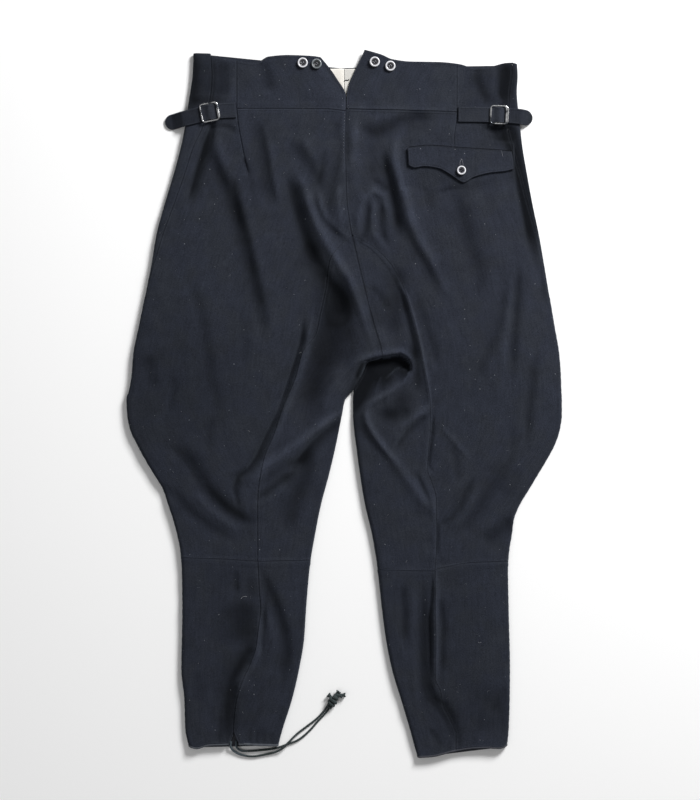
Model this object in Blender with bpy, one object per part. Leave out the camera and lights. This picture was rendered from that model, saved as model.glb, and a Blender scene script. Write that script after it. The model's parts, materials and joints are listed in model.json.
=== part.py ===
"""Riding-cut knee breeches, laid flat on a surface with their back side up.

Millimetres inside the script, metres in the meshes. The origin is on the surface, under the
middle of the garment: +X to the wearer's right, +Y to the waist, +Z up, out of the back.
Every cloth panel is a wall between seams, taken from one surface: the height of the upper
layer, the rolled edges at its sides, and the flat lower layer under it.
"""
import math

import bmesh
import bpy
import numpy as np
from mathutils import Matrix, Vector
from mathutils.bvhtree import BVHTree

MM = 0.001

# Cloth
WOOL = 2.0                 # thickness of the wool cloth
FACING = 1.0               # thickness of the cotton waist facing
SEAM_GAP = 0.3             # between two pieces that are sewn together
REST_GAP = 0.4             # between a piece and the panel that it lies on
ROLL = 5.0                 # how far in a folded side edge is rolled
ROLL_MIDDLE = 3.2          # height of the outermost line of a folded side edge
EDGE_TOP = 9.0             # height of the upper layer just inside a folded edge
EDGE_REACH = 42.0          # how far in the upper layer goes on rising
LOWEST_TOP = 5.8           # the upper layer never lies lower than this

# Lengths down the garment (y)
WAIST_TOP = 479.0
WAIST_SEAM = 412.0
WRAP_END = 150.0           # the side seam reaches the folded edge here
INNER_LEG_TOP = 234.0
CROTCH = 19.6              # where the gap between the legs begins
KNEE_LEFT = -218.0
KNEE_RIGHT = -226.0
HEM_LEFT = -479.0
HEM_RIGHT = -485.0
BINDING = 2.2              # height of the hem binding

# Folded side edges: y, left edge x, right edge x
SIDES = [
    (479, -211.4, 242.6), (459, -212.6, 243.6), (438, -215.6, 242.4), (420, -218.4, 243.6),
    (396, -221.9, 246.4), (363, -228.2, 249.9), (321, -239.4, 256.9), (279, -252.0, 264.6),
    (237, -263.2, 273.4), (195, -270.2, 280.7), (153, -278.6, 287.7), (111, -287.0, 294.7),
    (69, -295.4, 301.7), (41, -297.5, 303.8), (20, -301.0, 304.5), (6, -304.8, 305.2),
    (-15, -303.8, 305.2), (-36, -299.6, 302.4), (-57, -289.8, 295.4), (-78, -278.6, 284.2),
    (-99, -266.0, 271.6), (-120, -253.4, 259.0), (-141, -246.4, 246.4), (-162, -239.4, 238.0),
    (-183, -233.8, 235.2), (-204, -229.6, 231.7), (-225, -227.8, 230.0), (-288, -226.8, 231.0),
    (-372, -228.2, 232.8), (-414, -224.0, 232.4), (-456, -222.6, 231.0), (-482, -217.0, 228.2),
    (-496, -212.8, 225.4),
]
# Inner edges of the legs: y, right edge of the left leg, left edge of the right leg
INSEAMS = [
    (19.6, 13.9, 13.9), (6, 1.4, 12.6), (-15, -2.8, 12.6), (-36, -7.0, 14.0),
    (-57, -11.2, 16.8), (-99, -21.0, 22.4), (-141, -32.2, 29.4), (-183, -40.6, 39.2),
    (-225, -47.6, 46.2), (-288, -53.2, 53.2), (-330, -56.0, 58.8), (-372, -63.0, 67.2),
    (-414, -72.8, 79.8), (-456, -86.1, 92.4), (-482, -93.1, 99.4), (-496, -96.6, 103.6),
]
# How high the upper layer lies in the middle of the seat or leg: y, height
LOFT = [
    (490, 8.8), (440, 9.8), (405, 11.0), (350, 13.0), (200, 16.0), (80, 19.0), (0, 16.5),
    (-100, 14.0), (-220, 12.5), (-340, 12.0), (-440, 10.0), (-485, 9.0),
]
# Seams that run down the garment: y, x
CENTRE_BACK = [
    (434, 3.8), (415, 2.9), (354, 2.3), (290, 3.8), (251, 8.4), (213, 16.8), (174, 25.9),
    (132, 36.4), (102, 44.8), (76, 52.5), (63, 53.9), (60.5, 37.0), (54.6, 31.5),
    (42, 26.6), (28, 18.9), (19.6, 13.9),
]
NOTCH_LEFT = [(486, -33.0), (477, -25.2), (459, -11.2), (434, 3.6), (408, 2.6)]
NOTCH_RIGHT = [(497, 28.9), (434, 4.0), (408, 3.1)]
DART_LEFT = [
    (486, -149.8), (413, -149.8), (356, -141.4), (322, -134.4), (216, -128.8), (104, -131.6),
    (6, -148.0), (-64, -159.6), (-134, -166.6), (-218, -170.0),
]
DART_RIGHT = [
    (486, 158.2), (412, 158.2), (364, 153.3), (286, 155.4), (146, 176.4), (6, 190.4),
    (-64, 187.6), (-134, 178.4), (-227, 176.0),
]
THIGH_SEAM_LEFT = [
    (234, 11.2), (221, -5.6), (200, -19.6), (162, -25.2), (126, -32.9), (98, -39.2),
    (73, -57.4), (38, -67.2), (-3, -84.0), (-41, -97.2), (-78, -112.0), (-134, -120.4),
    (-220, -120.2),
]
THIGH_SEAM_RIGHT = [
    (234, 13.1), (221, 39.2), (207, 55.4), (182, 74.2), (151, 87.5), (123, 96.2), (85, 105.0),
    (53, 111.2), (22, 117.6), (-3, 120.4), (-31, 120.4), (-67, 117.6), (-91, 116.5),
    (-111, 123.2), (-132, 128.8), (-188, 129.5), (-231, 127.4),
]
CALF_SEAM_LEFT = [
    (-218, -120.2), (-260, -118.3), (-284, -116.2), (-308, -119.0), (-339, -122.6),
    (-365, -131.6), (-393, -144.2), (-421, -151.2), (-459, -154.4), (-482, -154.4),
]
CALF_SEAM_RIGHT = [
    (-231, 127.4), (-294, 127.4), (-330, 128.2), (-386, 127.9), (-400, 134.4), (-421, 138.6),
    (-444, 149.8), (-462, 156.8), (-490, 156.8),
]
FRONT_CENTRE = [(492, 0.0), (300, 1.0), (100, 8.0), (19.6, 13.9)]
# How far the fronts wrap over the folded edge on to the back: y, left, right
WRAP = [
    (486, 25.0, 6.3), (426, 30.0, 11.2), (389, 26.0, 18.0), (356, 18.0, 14.0),
    (293, 15.0, 8.0), (237, 10.0, 4.0), (195, 4.0, 2.0), (150, 0.7, 0.7),
]
# Seams and edges that run across the garment: x, y
BACK_TOP_LEFT = [
    (-187, 486.4), (-158, 483.0), (-133, 477.8), (-122, 478.4), (-106, 486.4), (-78, 488.6),
    (-43, 487.2), (-33, 485.8),
]
BACK_TOP_RIGHT = [
    (29, 496.3), (53, 489.0), (67, 483.0), (92, 479.5), (132, 478.8), (161, 476.0),
    (183, 470.4), (203, 471.8), (227, 477.4), (242, 478.1),
]
FRONT_TOP = [
    (-216, 491.4), (-188, 490.6), (-184, 487.0), (-146, 480.0), (-76, 473.2), (-17, 470.8),
    (18, 471.8), (78, 470.4), (176, 466.2), (218, 470.4), (245, 476.7),
]
WAIST_LEFT = [(-150, 413.7), (-27, 413.0), (2, 410.2)]
WAIST_RIGHT = [(3, 413.0), (154, 408.8), (158, 408.5)]
KNEE_LINE_LEFT = [(-228, -214.9), (-164, -217.0), (-115, -219.8), (-48, -218.4)]
KNEE_LINE_RIGHT = [(46, -232.4), (124, -233.4), (134, -229.6), (178, -221.9), (230, -219.8)]
HEM_LINE_LEFT = [
    (-223, -476.6), (-217, -480.2), (-206, -483.0), (-190, -478.8), (-147, -477.4),
    (-120, -478.8), (-92, -479.5),
]
HEM_LINE_RIGHT = [
    (102, -495.6), (123, -494.2), (155, -485.8), (182, -481.6), (195, -478.1),
    (218, -483.0), (229, -478.8),
]
HEM_SLIT = [(-459, 0.0), (-467, 3.2), (-478, 7.4), (-483, 7.8)]     # y, half width of the slit

# Largest folds: name, height (a hollow is negative), half width, route
FOLDS = [
    ("seat_right_hollow", -4.5, 9, [(56, 339), (63, 315), (71, 286), (76, 255), (77, 225)]),
    ("seat_right_fall", -3.0, 9, [(97, 218), (112, 197), (126, 172), (140, 150)]),
    ("seat_right_ridge", 3.5, 8, [(80, 384), (71, 343), (77, 307), (92, 270), (104, 237), (122, 193)]),
    ("seat_right_arch", 2.5, 5, [(24, 281), (39, 298), (53, 290), (56, 246)]),
    ("seat_right_arch_inside", -2.5, 5, [(32, 277), (30, 246), (20, 225)]),
    ("seat_right_waist", -1.5, 6, [(25, 386), (41, 378), (81, 396), (133, 397)]),
    ("seat_left_hollow", -5.0, 9, [(-73, 307), (-66, 277), (-56, 241), (-43, 209), (-29, 181)]),
    ("seat_left_ridge", 3.5, 7, [(-62, 321), (-62, 298), (-49, 259), (-17, 204), (13, 154), (29, 104)]),
    ("seat_left_ridge_upper", 2.5, 6, [(-45, 307), (-36, 273), (-20, 242), (4, 221)]),
    ("seat_left_high", -2.0, 6, [(-75, 358), (-49, 326), (-36, 294)]),
    ("seat_centre", -3.0, 7, [(-6, 350), (-8, 319), (-22, 273), (-13, 246), (7, 230)]),
    ("dart_left_hollow", -2.0, 7, [(-122, 386), (-109, 319), (-105, 290)]),
    ("hip_left_hollow", -4.0, 9, [(-176, 349), (-146, 281), (-129, 188), (-118, 132), (-102, 66)]),
    ("hip_left_edge", -3.0, 7, [(-186, 389), (-196, 350), (-210, 322), (-225, 266)]),
    ("thigh_left_seam", 3.0, 9, [(-46, 123), (-56, 73), (-84, -3), (-112, -78)]),
    ("thigh_left_outer", -3.0, 9, [(-56, 98), (-76, 38), (-106, -35), (-132, -87)]),
    ("thigh_left_inner", -3.0, 8, [(-29, 55), (-43, 25), (-56, -6), (-50, -20)]),
    ("knee_left_draw", 4.5, 6, [(-10, -11), (-46, -46), (-78, -67), (-127, -104), (-144, -123)]),
    ("knee_left_draw_under", -3.0, 6, [(-14, -25), (-35, -45), (-52, -66)]),
    ("knee_left_sweep", -4.5, 9, [(-220, -74), (-189, -108), (-160, -143), (-129, -162), (-120, -157)]),
    ("knee_left_nook", -3.0, 6, [(-132, -90), (-144, -102), (-153, -116), (-151, -132)]),
    ("knee_left_nook_low", -2.5, 6, [(-120, -136), (-108, -126), (-78, -102)]),
    ("knee_left_inner", -2.5, 9, [(-46, -57), (-55, -94), (-67, -132), (-91, -183)]),
    ("knee_left_outer", -2.0, 9, [(-249, -120), (-207, -162), (-153, -199)]),
    ("crotch_rim", 4.0, 6, [(11, 28), (22, 50), (36, 69), (55, 74), (77, 78), (95, 67), (102, 48)]),
    ("crotch_roll", 4.0, 5, [(90, 38), (70, 21), (34, -3), (36, -32), (66, -73), (74, -92)]),
    ("thigh_right_branch", 3.0, 5, [(120, -3), (97, -20), (78, -35), (70, -52)]),
    ("thigh_right_branch_under", -2.5, 5, [(112, -18), (88, -42), (73, -64)]),
    ("thigh_right_hollow", -2.5, 8, [(83, -10), (66, -18), (51, -17)]),
    ("thigh_right_seam", 2.5, 6, [(88, 151), (105, 85), (118, 22), (120, -31)]),
    ("thigh_right_seam_side", -2.5, 6, [(88, 126), (94, 77), (97, 45)]),
    ("hip_right_edge", -2.0, 9, [(244, 190), (238, 147), (233, 50)]),
    ("hip_right_fall", -2.0, 9, [(229, 174), (218, 126), (183, 18)]),
    ("knee_right_draw", -3.5, 7, [(37, -55), (50, -76), (80, -120), (106, -157)]),
    ("knee_right_draw_ridge", 2.5, 5, [(46, -50), (76, -90), (115, -139)]),
    ("knee_right_fan_inner", -2.5, 7, [(140, -171), (165, -134), (176, -112)]),
    ("knee_right_fan_outer", -2.0, 7, [(165, -171), (199, -130), (221, -90)]),
    ("calf_left_dent", -4.0, 13, [(-141, -283), (-141, -316)]),
    ("calf_left_hollow", -4.0, 8, [(-129, -340), (-151, -379), (-162, -427), (-164, -472)]),
    ("calf_left_ridge", 3.0, 6, [(-116, -274), (-115, -323), (-123, -365)]),
    ("calf_left_inner", -2.5, 7, [(-108, -239), (-89, -287), (-77, -339), (-85, -386)]),
    ("calf_right_hollow", -2.5, 6, [(109, -262), (109, -358), (116, -410), (132, -423)]),
    ("calf_right_ridge", 2.5, 7, [(95, -256), (95, -330), (103, -434)]),
    ("calf_right_pleat", 2.5, 5, [(127, -260), (129, -330), (129, -386)]),
    ("calf_right_inner", -2.0, 7, [(78, -251), (83, -330)]),
]
FOLD_ENDS = 0.18           # share of a route over which a fold fades in, and out again

# The seat hangs over the right thigh along this line, from the crotch gap round the hollow
OVERHANG = [
    (13.9, 19.6), (18.9, 28.0), (26.6, 42.0), (31.5, 54.6), (37.0, 60.5), (53.9, 63.0),
    (65.8, 65.1), (78.4, 67.9), (88.2, 63.7), (93.8, 56.0), (94.5, 47.6), (89.6, 37.8),
]
OVERHANG_DROP = 11.0
OVERHANG_LIP = 7.0         # width of the rolled lip
OVERHANG_HOLLOW = 24.0     # width of the hollow under it
OVERHANG_FADE = 0.72       # share of the line at which the drop starts to fade

# Rows of the panels (y), closer together round the crotch
ROWS_SEAT = [479, 464, 446, 429, 412, 396, 378, 358, 338, 318, 298, 277, 256, 234]
ROWS_THIGH = [
    213, 192, 171, 150, 130, 111, 94, 79, 68, 63, 60.5, 56, 48, 39, 29, 19.6, 10,
    -4, -22, -42, -62, -82, -102, -122, -144, -169, -194,
]
CALF_SHARES = np.linspace(1.0, 0.0, 14)

# Trimmings
BUTTON_RADIUS = 7.15
BUTTON_HEIGHT = 3.0
BUTTON_SHANK = 0.6         # thread between the button and the cloth
BUTTON_HOLE = 0.8
BUTTON_HOLE_RING = 1.75
POCKET_BUTTON_RADIUS = 6.3
BRACE_BUTTONS = [(-57.8, 477.3), (-38.4, 475.7), (43.0, 478.7), (64.8, 472.8)]
POCKET_BUTTON = (163.8, 325.9)
FLAP_TOP = [(88.2, 357.7), (120, 360.4), (164, 357.4), (210, 354.5), (233, 353.1)]
FLAP_BOTTOM = [
    (88.2, 337.0), (92, 332.4), (98.6, 329.6), (112, 331.6), (131.6, 329.0), (150, 319.2),
    (164, 309.8), (167, 308.8), (170, 309.8), (180.6, 316.4), (206.5, 323.0), (225.4, 325.0),
    (235.0, 327.5),
]
FLAP_SIDES = [(360, 88.2, 233.0), (335, 90.0, 237.0), (308, 91.5, 236.0)]     # y, left, right
FLAP_THICK = 2.4
FLAP_REACH = 7.0           # how far round each of its points the flap feels the cloth
FACING_REACH = 30.0        # half width of the waist facing
FACING_LOW = 424.0
FACING_DROP = 1.8          # from the front's top edge down to the facing
SLIT_MIDDLE = -154.4
SLIT_FACING = 10.5         # half width of the facing behind the hem slit
SLIT_LOW = -478.0
SLIT_HIGH = -455.0
STRAP_THICK = 2.0
STRAP_WIDTH = 21.6
STRAP_STEP = 5.0
STRAP_FEEL = 13.5          # half width over which the strap feels what it lies on
STRAP_DRAPE = 7.0          # stiffness: how far ahead it starts to climb or fall
STRAP_LEFT = [
    (-151, 410.9), (-170, 410.0), (-187.6, 407.8), (-203, 404.2), (-222, 399.4), (-251, 393.4),
]
STRAP_RIGHT = [
    (159.5, 404.8), (190, 404.6), (217, 404.0), (232, 403.2), (248, 401.8), (264.6, 400.0),
]
BUCKLE_LEFT = (-187.5, 407.8, 191.0)       # x, y, direction of the strap in degrees
BUCKLE_RIGHT = (217.0, 404.0, -2.0)
BUCKLE_LENGTH = 26.5
BUCKLE_WIDTH = 26.6
BUCKLE_SIDE = 4.6          # width of the two bars that the strap passes under
BUCKLE_RAIL = 2.2          # width of the other two
BUCKLE_THICK = 2.2
BUCKLE_CORNER = 4.5
BUCKLE_BAR = 1.1           # radius of the middle bar, under the strap
BAR_RISE = 3.0             # how far the strap climbs over the bar
CORD = 3.0                 # diameter of the drawstring
CORD_STEP = 7.0            # between the points of its tube
CORD_A = [
    (-158.4, -473.0, 5.6), (-159.0, -480.0, 5.0), (-154.3, -486.9, 2.4), (-143.6, -492.4, 1.6),
    (-127.4, -494.5, 1.6), (-107.8, -491.4, 1.6), (-95.2, -487.9, 2.6), (-86.0, -482.4, 5.2),
    (-77.0, -473.6, 5.0), (-66.0, -463.0, 2.0), (-51.6, -452.0, 1.6), (-39.4, -442.6, 1.6),
    (-30.0, -433.2, 1.6), (-24.9, -426.4, 1.8), (-20.9, -420.7, 2.4),
]
CORD_B = [
    (-151.2, -471.8, 5.6), (-150.8, -480.0, 5.0), (-146.0, -485.6, 2.2), (-136.5, -487.2, 1.6),
    (-118.6, -486.0, 1.6), (-102.0, -484.2, 1.6), (-90.0, -481.4, 1.6), (-78.6, -476.4, 1.6),
    (-66.0, -470.6, 1.6), (-55.0, -461.6, 1.6), (-45.2, -452.8, 1.6), (-35.2, -443.8, 1.6),
    (-26.6, -434.4, 1.6), (-22.2, -428.6, 1.8), (-18.3, -422.7, 2.4),
]
KNOT_BODY = [                              # x, y, z, radius along the knot
    (-19.4, -421.4, 3.6, 3.3), (-16.6, -416.0, 4.6, 4.3), (-14.2, -411.2, 4.9, 4.6),
    (-12.8, -407.6, 4.2, 3.4),
]
KNOT_TAILS = [
    [(-15.5, -412.5, 4.2, 2.4), (-20.2, -409.6, 2.8, 2.3), (-23.4, -407.6, 2.2, 1.7)],
    [(-13.4, -410.0, 4.4, 2.2), (-9.4, -405.4, 3.2, 2.0), (-7.3, -402.2, 2.2, 1.6)],
    [(-12.4, -411.6, 4.2, 2.2), (-5.0, -409.0, 3.0, 2.1), (2.6, -407.6, 2.0, 1.5)],
]

COLOURS = {
    "wool": (0.020, 0.023, 0.030, 1.0), "wool_strap": (0.018, 0.020, 0.026, 1.0),
    "facing": (0.62, 0.58, 0.50, 1.0), "binding": (0.10, 0.115, 0.125, 1.0),
    "button": (0.55, 0.54, 0.52, 1.0), "buckle": (0.72, 0.72, 0.72, 1.0),
    "cord": (0.035, 0.045, 0.050, 1.0),
}


# ---------------------------------------------------------------- lines and heights

def smooth_line(rows, column=1):
    """A curve through the rows' (key, value) pairs that never swings past them."""
    pairs = sorted((row[0], row[column]) for row in rows)
    keys = np.array([pair[0] for pair in pairs], float)
    values = np.array([pair[1] for pair in pairs], float)
    step = np.diff(keys)
    rise = np.diff(values) / step
    slope = np.concatenate([[rise[0]], np.zeros(len(rise) - 1), [rise[-1]]])
    product = rise[:-1] * rise[1:]
    total = np.where(product > 0, rise[:-1] + rise[1:], 1.0)
    slope[1:-1] = np.where(product > 0, 2 * product / total, 0.0)

    def line(key):
        key = np.clip(key, keys[0], keys[-1])
        i = np.clip(np.searchsorted(keys, key) - 1, 0, len(step) - 1)
        t = (key - keys[i]) / step[i]
        return (values[i] * (1 + 2 * t) * (1 - t) ** 2 + values[i + 1] * t * t * (3 - 2 * t)
                + step[i] * (slope[i] * t * (1 - t) ** 2 - slope[i + 1] * t * t * (1 - t)))
    return line


def ease(t):
    """Rise smoothly from 0 to 1 as t does."""
    t = np.clip(t, 0.0, 1.0)
    return t * t * (3 - 2 * t)


left_side = smooth_line(SIDES, 1)
right_side = smooth_line(SIDES, 2)
left_inseam = smooth_line(INSEAMS, 1)
right_inseam = smooth_line(INSEAMS, 2)
loft_height = smooth_line(LOFT)
centre_back = smooth_line(CENTRE_BACK)
front_centre = smooth_line(FRONT_CENTRE)


def distance_to(x, y, route):
    """Distance from a route, the share of the route that is nearest, and the side of it."""
    route = np.array(route, float)
    pieces = np.diff(route, axis=0)
    lengths = np.hypot(pieces[:, 0], pieces[:, 1])
    before = np.concatenate([[0], np.cumsum(lengths)])
    best = np.full(np.shape(x), 1e9)
    share = np.zeros(np.shape(x))
    turn = np.zeros(np.shape(x))
    for start, piece, length, run in zip(route, pieces, lengths, before):
        dx, dy = x - start[0], y - start[1]
        t = np.clip((dx * piece[0] + dy * piece[1]) / length ** 2, 0, 1)
        off = np.hypot(dx - t * piece[0], dy - t * piece[1])
        nearer = off < best
        best = np.where(nearer, off, best)
        share = np.where(nearer, (run + t * length) / before[-1], share)
        turn = np.where(nearer, piece[0] * dy - piece[1] * dx, turn)
    return best, share, turn


def calm_height(x, y):
    """The upper layer without folds: low by the folded edges and fuller in the middle."""
    low_y = np.minimum(y, CROTCH)
    in_left_leg = x < (left_inseam(low_y) + right_inseam(low_y)) / 2
    inner = np.where(in_left_leg, left_inseam(low_y) - x, x - right_inseam(low_y))
    inner = np.hypot(inner, np.maximum(y - CROTCH, 0))
    room = np.minimum(np.minimum(x - left_side(y), right_side(y) - x), inner)
    fullness = 1 - np.exp(-np.maximum(room, 0) / EDGE_REACH)
    return EDGE_TOP + (loft_height(y) - EDGE_TOP) * fullness


def fold_height(x, y, folds):
    """The sum of the folds: each is a soft ridge or hollow along its route."""
    total = np.zeros(np.shape(x))
    for _, height, half_width, route in folds:
        off, share, _ = distance_to(x, y, route)
        fade = ease(share / FOLD_ENDS) * ease((1 - share) / FOLD_ENDS)
        total = total + height * fade * np.exp(-(off / half_width) ** 2)
    return total


def overhang_height(x, y):
    """The drop from the rolled lip of the seat into the hollow under it."""
    off, share, turn = distance_to(x, y, OVERHANG)
    lip = 1 - np.sin(np.minimum(off / OVERHANG_LIP, 1) * math.pi / 2)
    hollow = np.exp(-(off / OVERHANG_HOLLOW) ** 1.4)
    fade = 1 - ease((share - OVERHANG_FADE) / (1 - OVERHANG_FADE))
    return -OVERHANG_DROP * fade * np.where(turn > 0, lip, hollow)


def top_height(x, y):
    """Height of the upper layer's outer face."""
    height = calm_height(x, y) + fold_height(x, y, FOLDS) + overhang_height(x, y)
    return LOWEST_TOP + np.logaddexp(0, (height - LOWEST_TOP) * 1.6) / 1.6


# ---------------------------------------------------------------- edges of the tubes

QUARTER = ROLL * math.pi / 2


class Edge:
    """A folded side of the garment. q runs round it from its outermost line, in mm."""

    def __init__(self, line, inward, rolled=None):
        self.line = line
        self.inward = inward
        self.rolled = rolled or (lambda y: np.ones(np.shape(y)))

    def x(self, q, y):
        turn = np.clip(q / QUARTER, -1, 1) * math.pi / 2
        reach = ROLL * (1 - np.cos(turn)) + np.maximum(q - QUARTER, 0)
        return self.line(y) + self.inward * reach

    def q(self, x, y):
        reach = np.maximum(self.inward * (x - self.line(y)), 0)
        turn = np.arccos(1 - np.minimum(reach / ROLL, 1))
        return turn * 2 / math.pi * QUARTER + np.maximum(reach - ROLL, 0)

    def upper(self, q, y):
        x = self.x(q, y)
        height = top_height(x, y)
        shoulder = top_height(self.line(y) + self.inward * ROLL, y)
        turn = np.clip(q / QUARTER, -1, 1) * math.pi / 2
        middle = ROLL_MIDDLE + SEAM_GAP
        rolled = middle + (shoulder - middle) * np.sin(turn)
        share = self.rolled(y) * (q < QUARTER)
        return np.stack([x, y, height + (rolled - height) * share], axis=-1)

    def lower(self, q, y):
        turn = np.clip(q / QUARTER, -1, 1) * math.pi / 2
        z = ROLL_MIDDLE * (1 - np.sin(turn)) * self.rolled(y)
        return np.stack([self.x(q, y), y, z], axis=-1)


def seam_then_inseam(inseam, offset):
    """Centre back seam and overhang down to the crotch, then the leg's own inner edge."""
    return lambda y: np.where(y > CROTCH, centre_back(y) + offset, inseam(y))


def below_crotch(y):
    """0 where the edge lies on cloth, 1 where it is rolled down to the surface."""
    return ease((CROTCH + 1 - y) / 7)


EDGES = {
    "outer_left": Edge(left_side, 1),
    "outer_right": Edge(right_side, -1),
    "inner_left": Edge(seam_then_inseam(left_inseam, 0.0), -1, below_crotch),
    "inner_right": Edge(seam_then_inseam(right_inseam, SEAM_GAP), 1, below_crotch),
    "front_left": Edge(lambda y: np.where(y > CROTCH, front_centre(y), left_inseam(y)), -1,
                       below_crotch),
    "front_right": Edge(lambda y: np.where(y > CROTCH, front_centre(y) + SEAM_GAP,
                                           right_inseam(y)), 1, below_crotch),
}


# ---------------------------------------------------------------- walls of cloth

def outward(surface, q, y, inward):
    """Unit normals of a surface given by q and y, pointing out of the garment."""
    step = 0.4
    q = np.maximum(q, step / 20)
    along = surface(q + step, y) - surface(q - step, y)
    down = surface(q, y + step) - surface(q, y - step)
    normal = np.cross(along, down) * inward
    return normal / np.linalg.norm(normal, axis=-1, keepdims=True)


def make_wall(name, colour, outer, inner, cells=None):
    """A closed wall between two grids of points, over the grid cells that are kept."""
    rows, cols = outer.shape[:2]
    if cells is None:
        cells = np.ones((rows - 1, cols - 1), bool)
    mesh = bmesh.new()
    made = {}

    def corner(i, j, layer):
        if (i, j, layer) not in made:
            point = (outer, inner)[layer][i, j]
            made[i, j, layer] = mesh.verts.new(Vector([float(v) * MM for v in point]))
        return made[i, j, layer]

    edges = {}
    for i, j in zip(*np.nonzero(cells)):
        ring = [(i, j), (i, j + 1), (i + 1, j + 1), (i + 1, j)]
        mesh.faces.new([corner(*at, 0) for at in ring])
        mesh.faces.new([corner(*at, 1) for at in reversed(ring)])
        for start, end in zip(ring, ring[1:] + ring[:1]):
            if edges.pop((end, start), None) is None:
                edges[start, end] = True
    for start, end in edges:
        mesh.faces.new([corner(*end, 0), corner(*start, 0), corner(*start, 1), corner(*end, 1)])
    return add_object(name, mesh, colour)


def add_object(name, mesh, colour):
    """Close a bmesh into a named object with its own material."""
    bmesh.ops.recalc_face_normals(mesh, faces=mesh.faces)
    if mesh.calc_volume(signed=True) < 0:
        bmesh.ops.reverse_faces(mesh, faces=mesh.faces)
    data = bpy.data.meshes.new(name)
    mesh.to_mesh(data)
    mesh.free()
    thing = bpy.data.objects.new(name, data)
    bpy.context.scene.collection.objects.link(thing)
    data.materials.append(material(name, colour))
    return thing


def material(name, colour):
    """A plain finish in the piece's own colour."""
    finish = bpy.data.materials.new(name + "_finish")
    finish.use_nodes = True
    shader = finish.node_tree.nodes["Principled BSDF"]
    shader.inputs["Base Color"].default_value = COLOURS[colour]
    shader.inputs["Metallic"].default_value = 1.0 if colour == "buckle" else 0.0
    shader.inputs["Roughness"].default_value = 0.3 if colour in ("buckle", "button") else 0.9
    return finish


def settle(edge, rows, stops, shares, shift):
    """Share out each row between its stops. Rows follow the curved seams by their shift."""
    nominal = np.repeat(np.array(rows, float)[:, None], sum(len(s) for s in shares), axis=1)
    y = nominal.copy()
    for _ in range(5):
        q = np.concatenate([
            low(y[:, at:at + len(part)])
            + np.array(part) * (high(y[:, at:at + len(part)]) - low(y[:, at:at + len(part)]))
            for low, high, part, at in zip(
                stops, stops[1:], shares, np.cumsum([0] + [len(s) for s in shares]))
        ], axis=1)
        y = nominal + shift(edge.x(q, y), nominal)
    return q, y


def edge_shares(count, power=1.4):
    """Shares of a width, close together at its folded edge."""
    return list((np.arange(count + 1) / count) ** power)


def weight(y, full, none):
    """1 at y = full, 0 from y = none on."""
    return np.clip((y - none) / (full - none), 0, 1)


# ---------------------------------------------------------------- the cloth panels

SIDE_DATA = {
    "left": dict(outer="outer_left", inner="inner_left", front="front_left", wrap=1,
                 dart=DART_LEFT, thigh=THIGH_SEAM_LEFT, calf=CALF_SEAM_LEFT,
                 top=BACK_TOP_LEFT, waist=WAIST_LEFT, knee=KNEE_LINE_LEFT,
                 hem=HEM_LINE_LEFT, knee_y=KNEE_LEFT, hem_y=HEM_LEFT, sign=-1),
    "right": dict(outer="outer_right", inner="inner_right", front="front_right", wrap=2,
                  dart=DART_RIGHT, thigh=THIGH_SEAM_RIGHT, calf=CALF_SEAM_RIGHT,
                  top=BACK_TOP_RIGHT, waist=WAIST_RIGHT, knee=KNEE_LINE_RIGHT,
                  hem=HEM_LINE_RIGHT, knee_y=KNEE_RIGHT, hem_y=HEM_RIGHT, sign=1),
}
DART_COLUMNS = 6
SEAT_COLUMNS = 8
INNER_LEG_COLUMNS = 7
CALF_OUTER_COLUMNS = 6


def wall_on(name, edge, q, y, cells=None, colour="wool"):
    """A wall of wool whose outer face lies on the upper layer."""
    outer = edge.upper(q, y)
    inner = outer - WOOL * outward(edge.upper, q, y, edge.inward)
    return make_wall(name, colour, outer, inner, cells)


def side_seam(data):
    """q of the side seam on the upper layer, where the front ends and the back begins."""
    wrap = smooth_line(WRAP, data["wrap"])
    edge = EDGES[data["outer"]]
    return lambda y: np.where(y >= WRAP_END, edge.q(edge.line(y) + edge.inward * wrap(y), y), 0.0)


def back_panel(side):
    """Outer back: hip, seat and thigh, with the place of the centre back rise cut out."""
    data = SIDE_DATA[side]
    edge = EDGES[data["outer"]]
    seam = side_seam(data)
    dart, thigh = smooth_line(data["dart"]), smooth_line(data["thigh"])
    top, waist, knee = (smooth_line(data[key]) for key in ("top", "waist", "knee"))
    gap = SEAM_GAP * data["sign"]

    def start(y):
        return seam(y) + np.where(y >= WRAP_END, SEAM_GAP, 0.0)

    def dart_q(y):
        return edge.q(dart(y), y)

    def end(y):
        inner = np.where(y > INNER_LEG_TOP, centre_back(y) + max(gap, 0), thigh(y) + gap)
        return edge.q(inner, y)

    def shift(x, y):
        from_top = weight(y, WAIST_TOP, WAIST_SEAM) * (top(x) - WAIST_TOP)
        past_dart = data["sign"] * (dart(y) - x) > -1
        from_waist = (waist(x) - SEAM_GAP - WAIST_SEAM) * (y == WAIST_SEAM) * past_dart
        to_knee = weight(y, data["knee_y"], data["knee_y"] + 60) * (knee(x) - data["knee_y"])
        return from_top + from_waist + to_knee

    rows = ROWS_SEAT + ROWS_THIGH + [data["knee_y"]]
    inner_shares = list(np.arange(1, SEAT_COLUMNS + 1) / SEAT_COLUMNS)
    shares = [edge_shares(DART_COLUMNS), inner_shares]
    q, y = settle(edge, rows, [start, dart_q, end], shares, shift)
    cells = np.ones((q.shape[0] - 1, q.shape[1] - 1), bool)
    cells[:ROWS_SEAT.index(WAIST_SEAM), DART_COLUMNS:] = False
    return wall_on("back_" + side, edge, q, y, cells)


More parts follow.
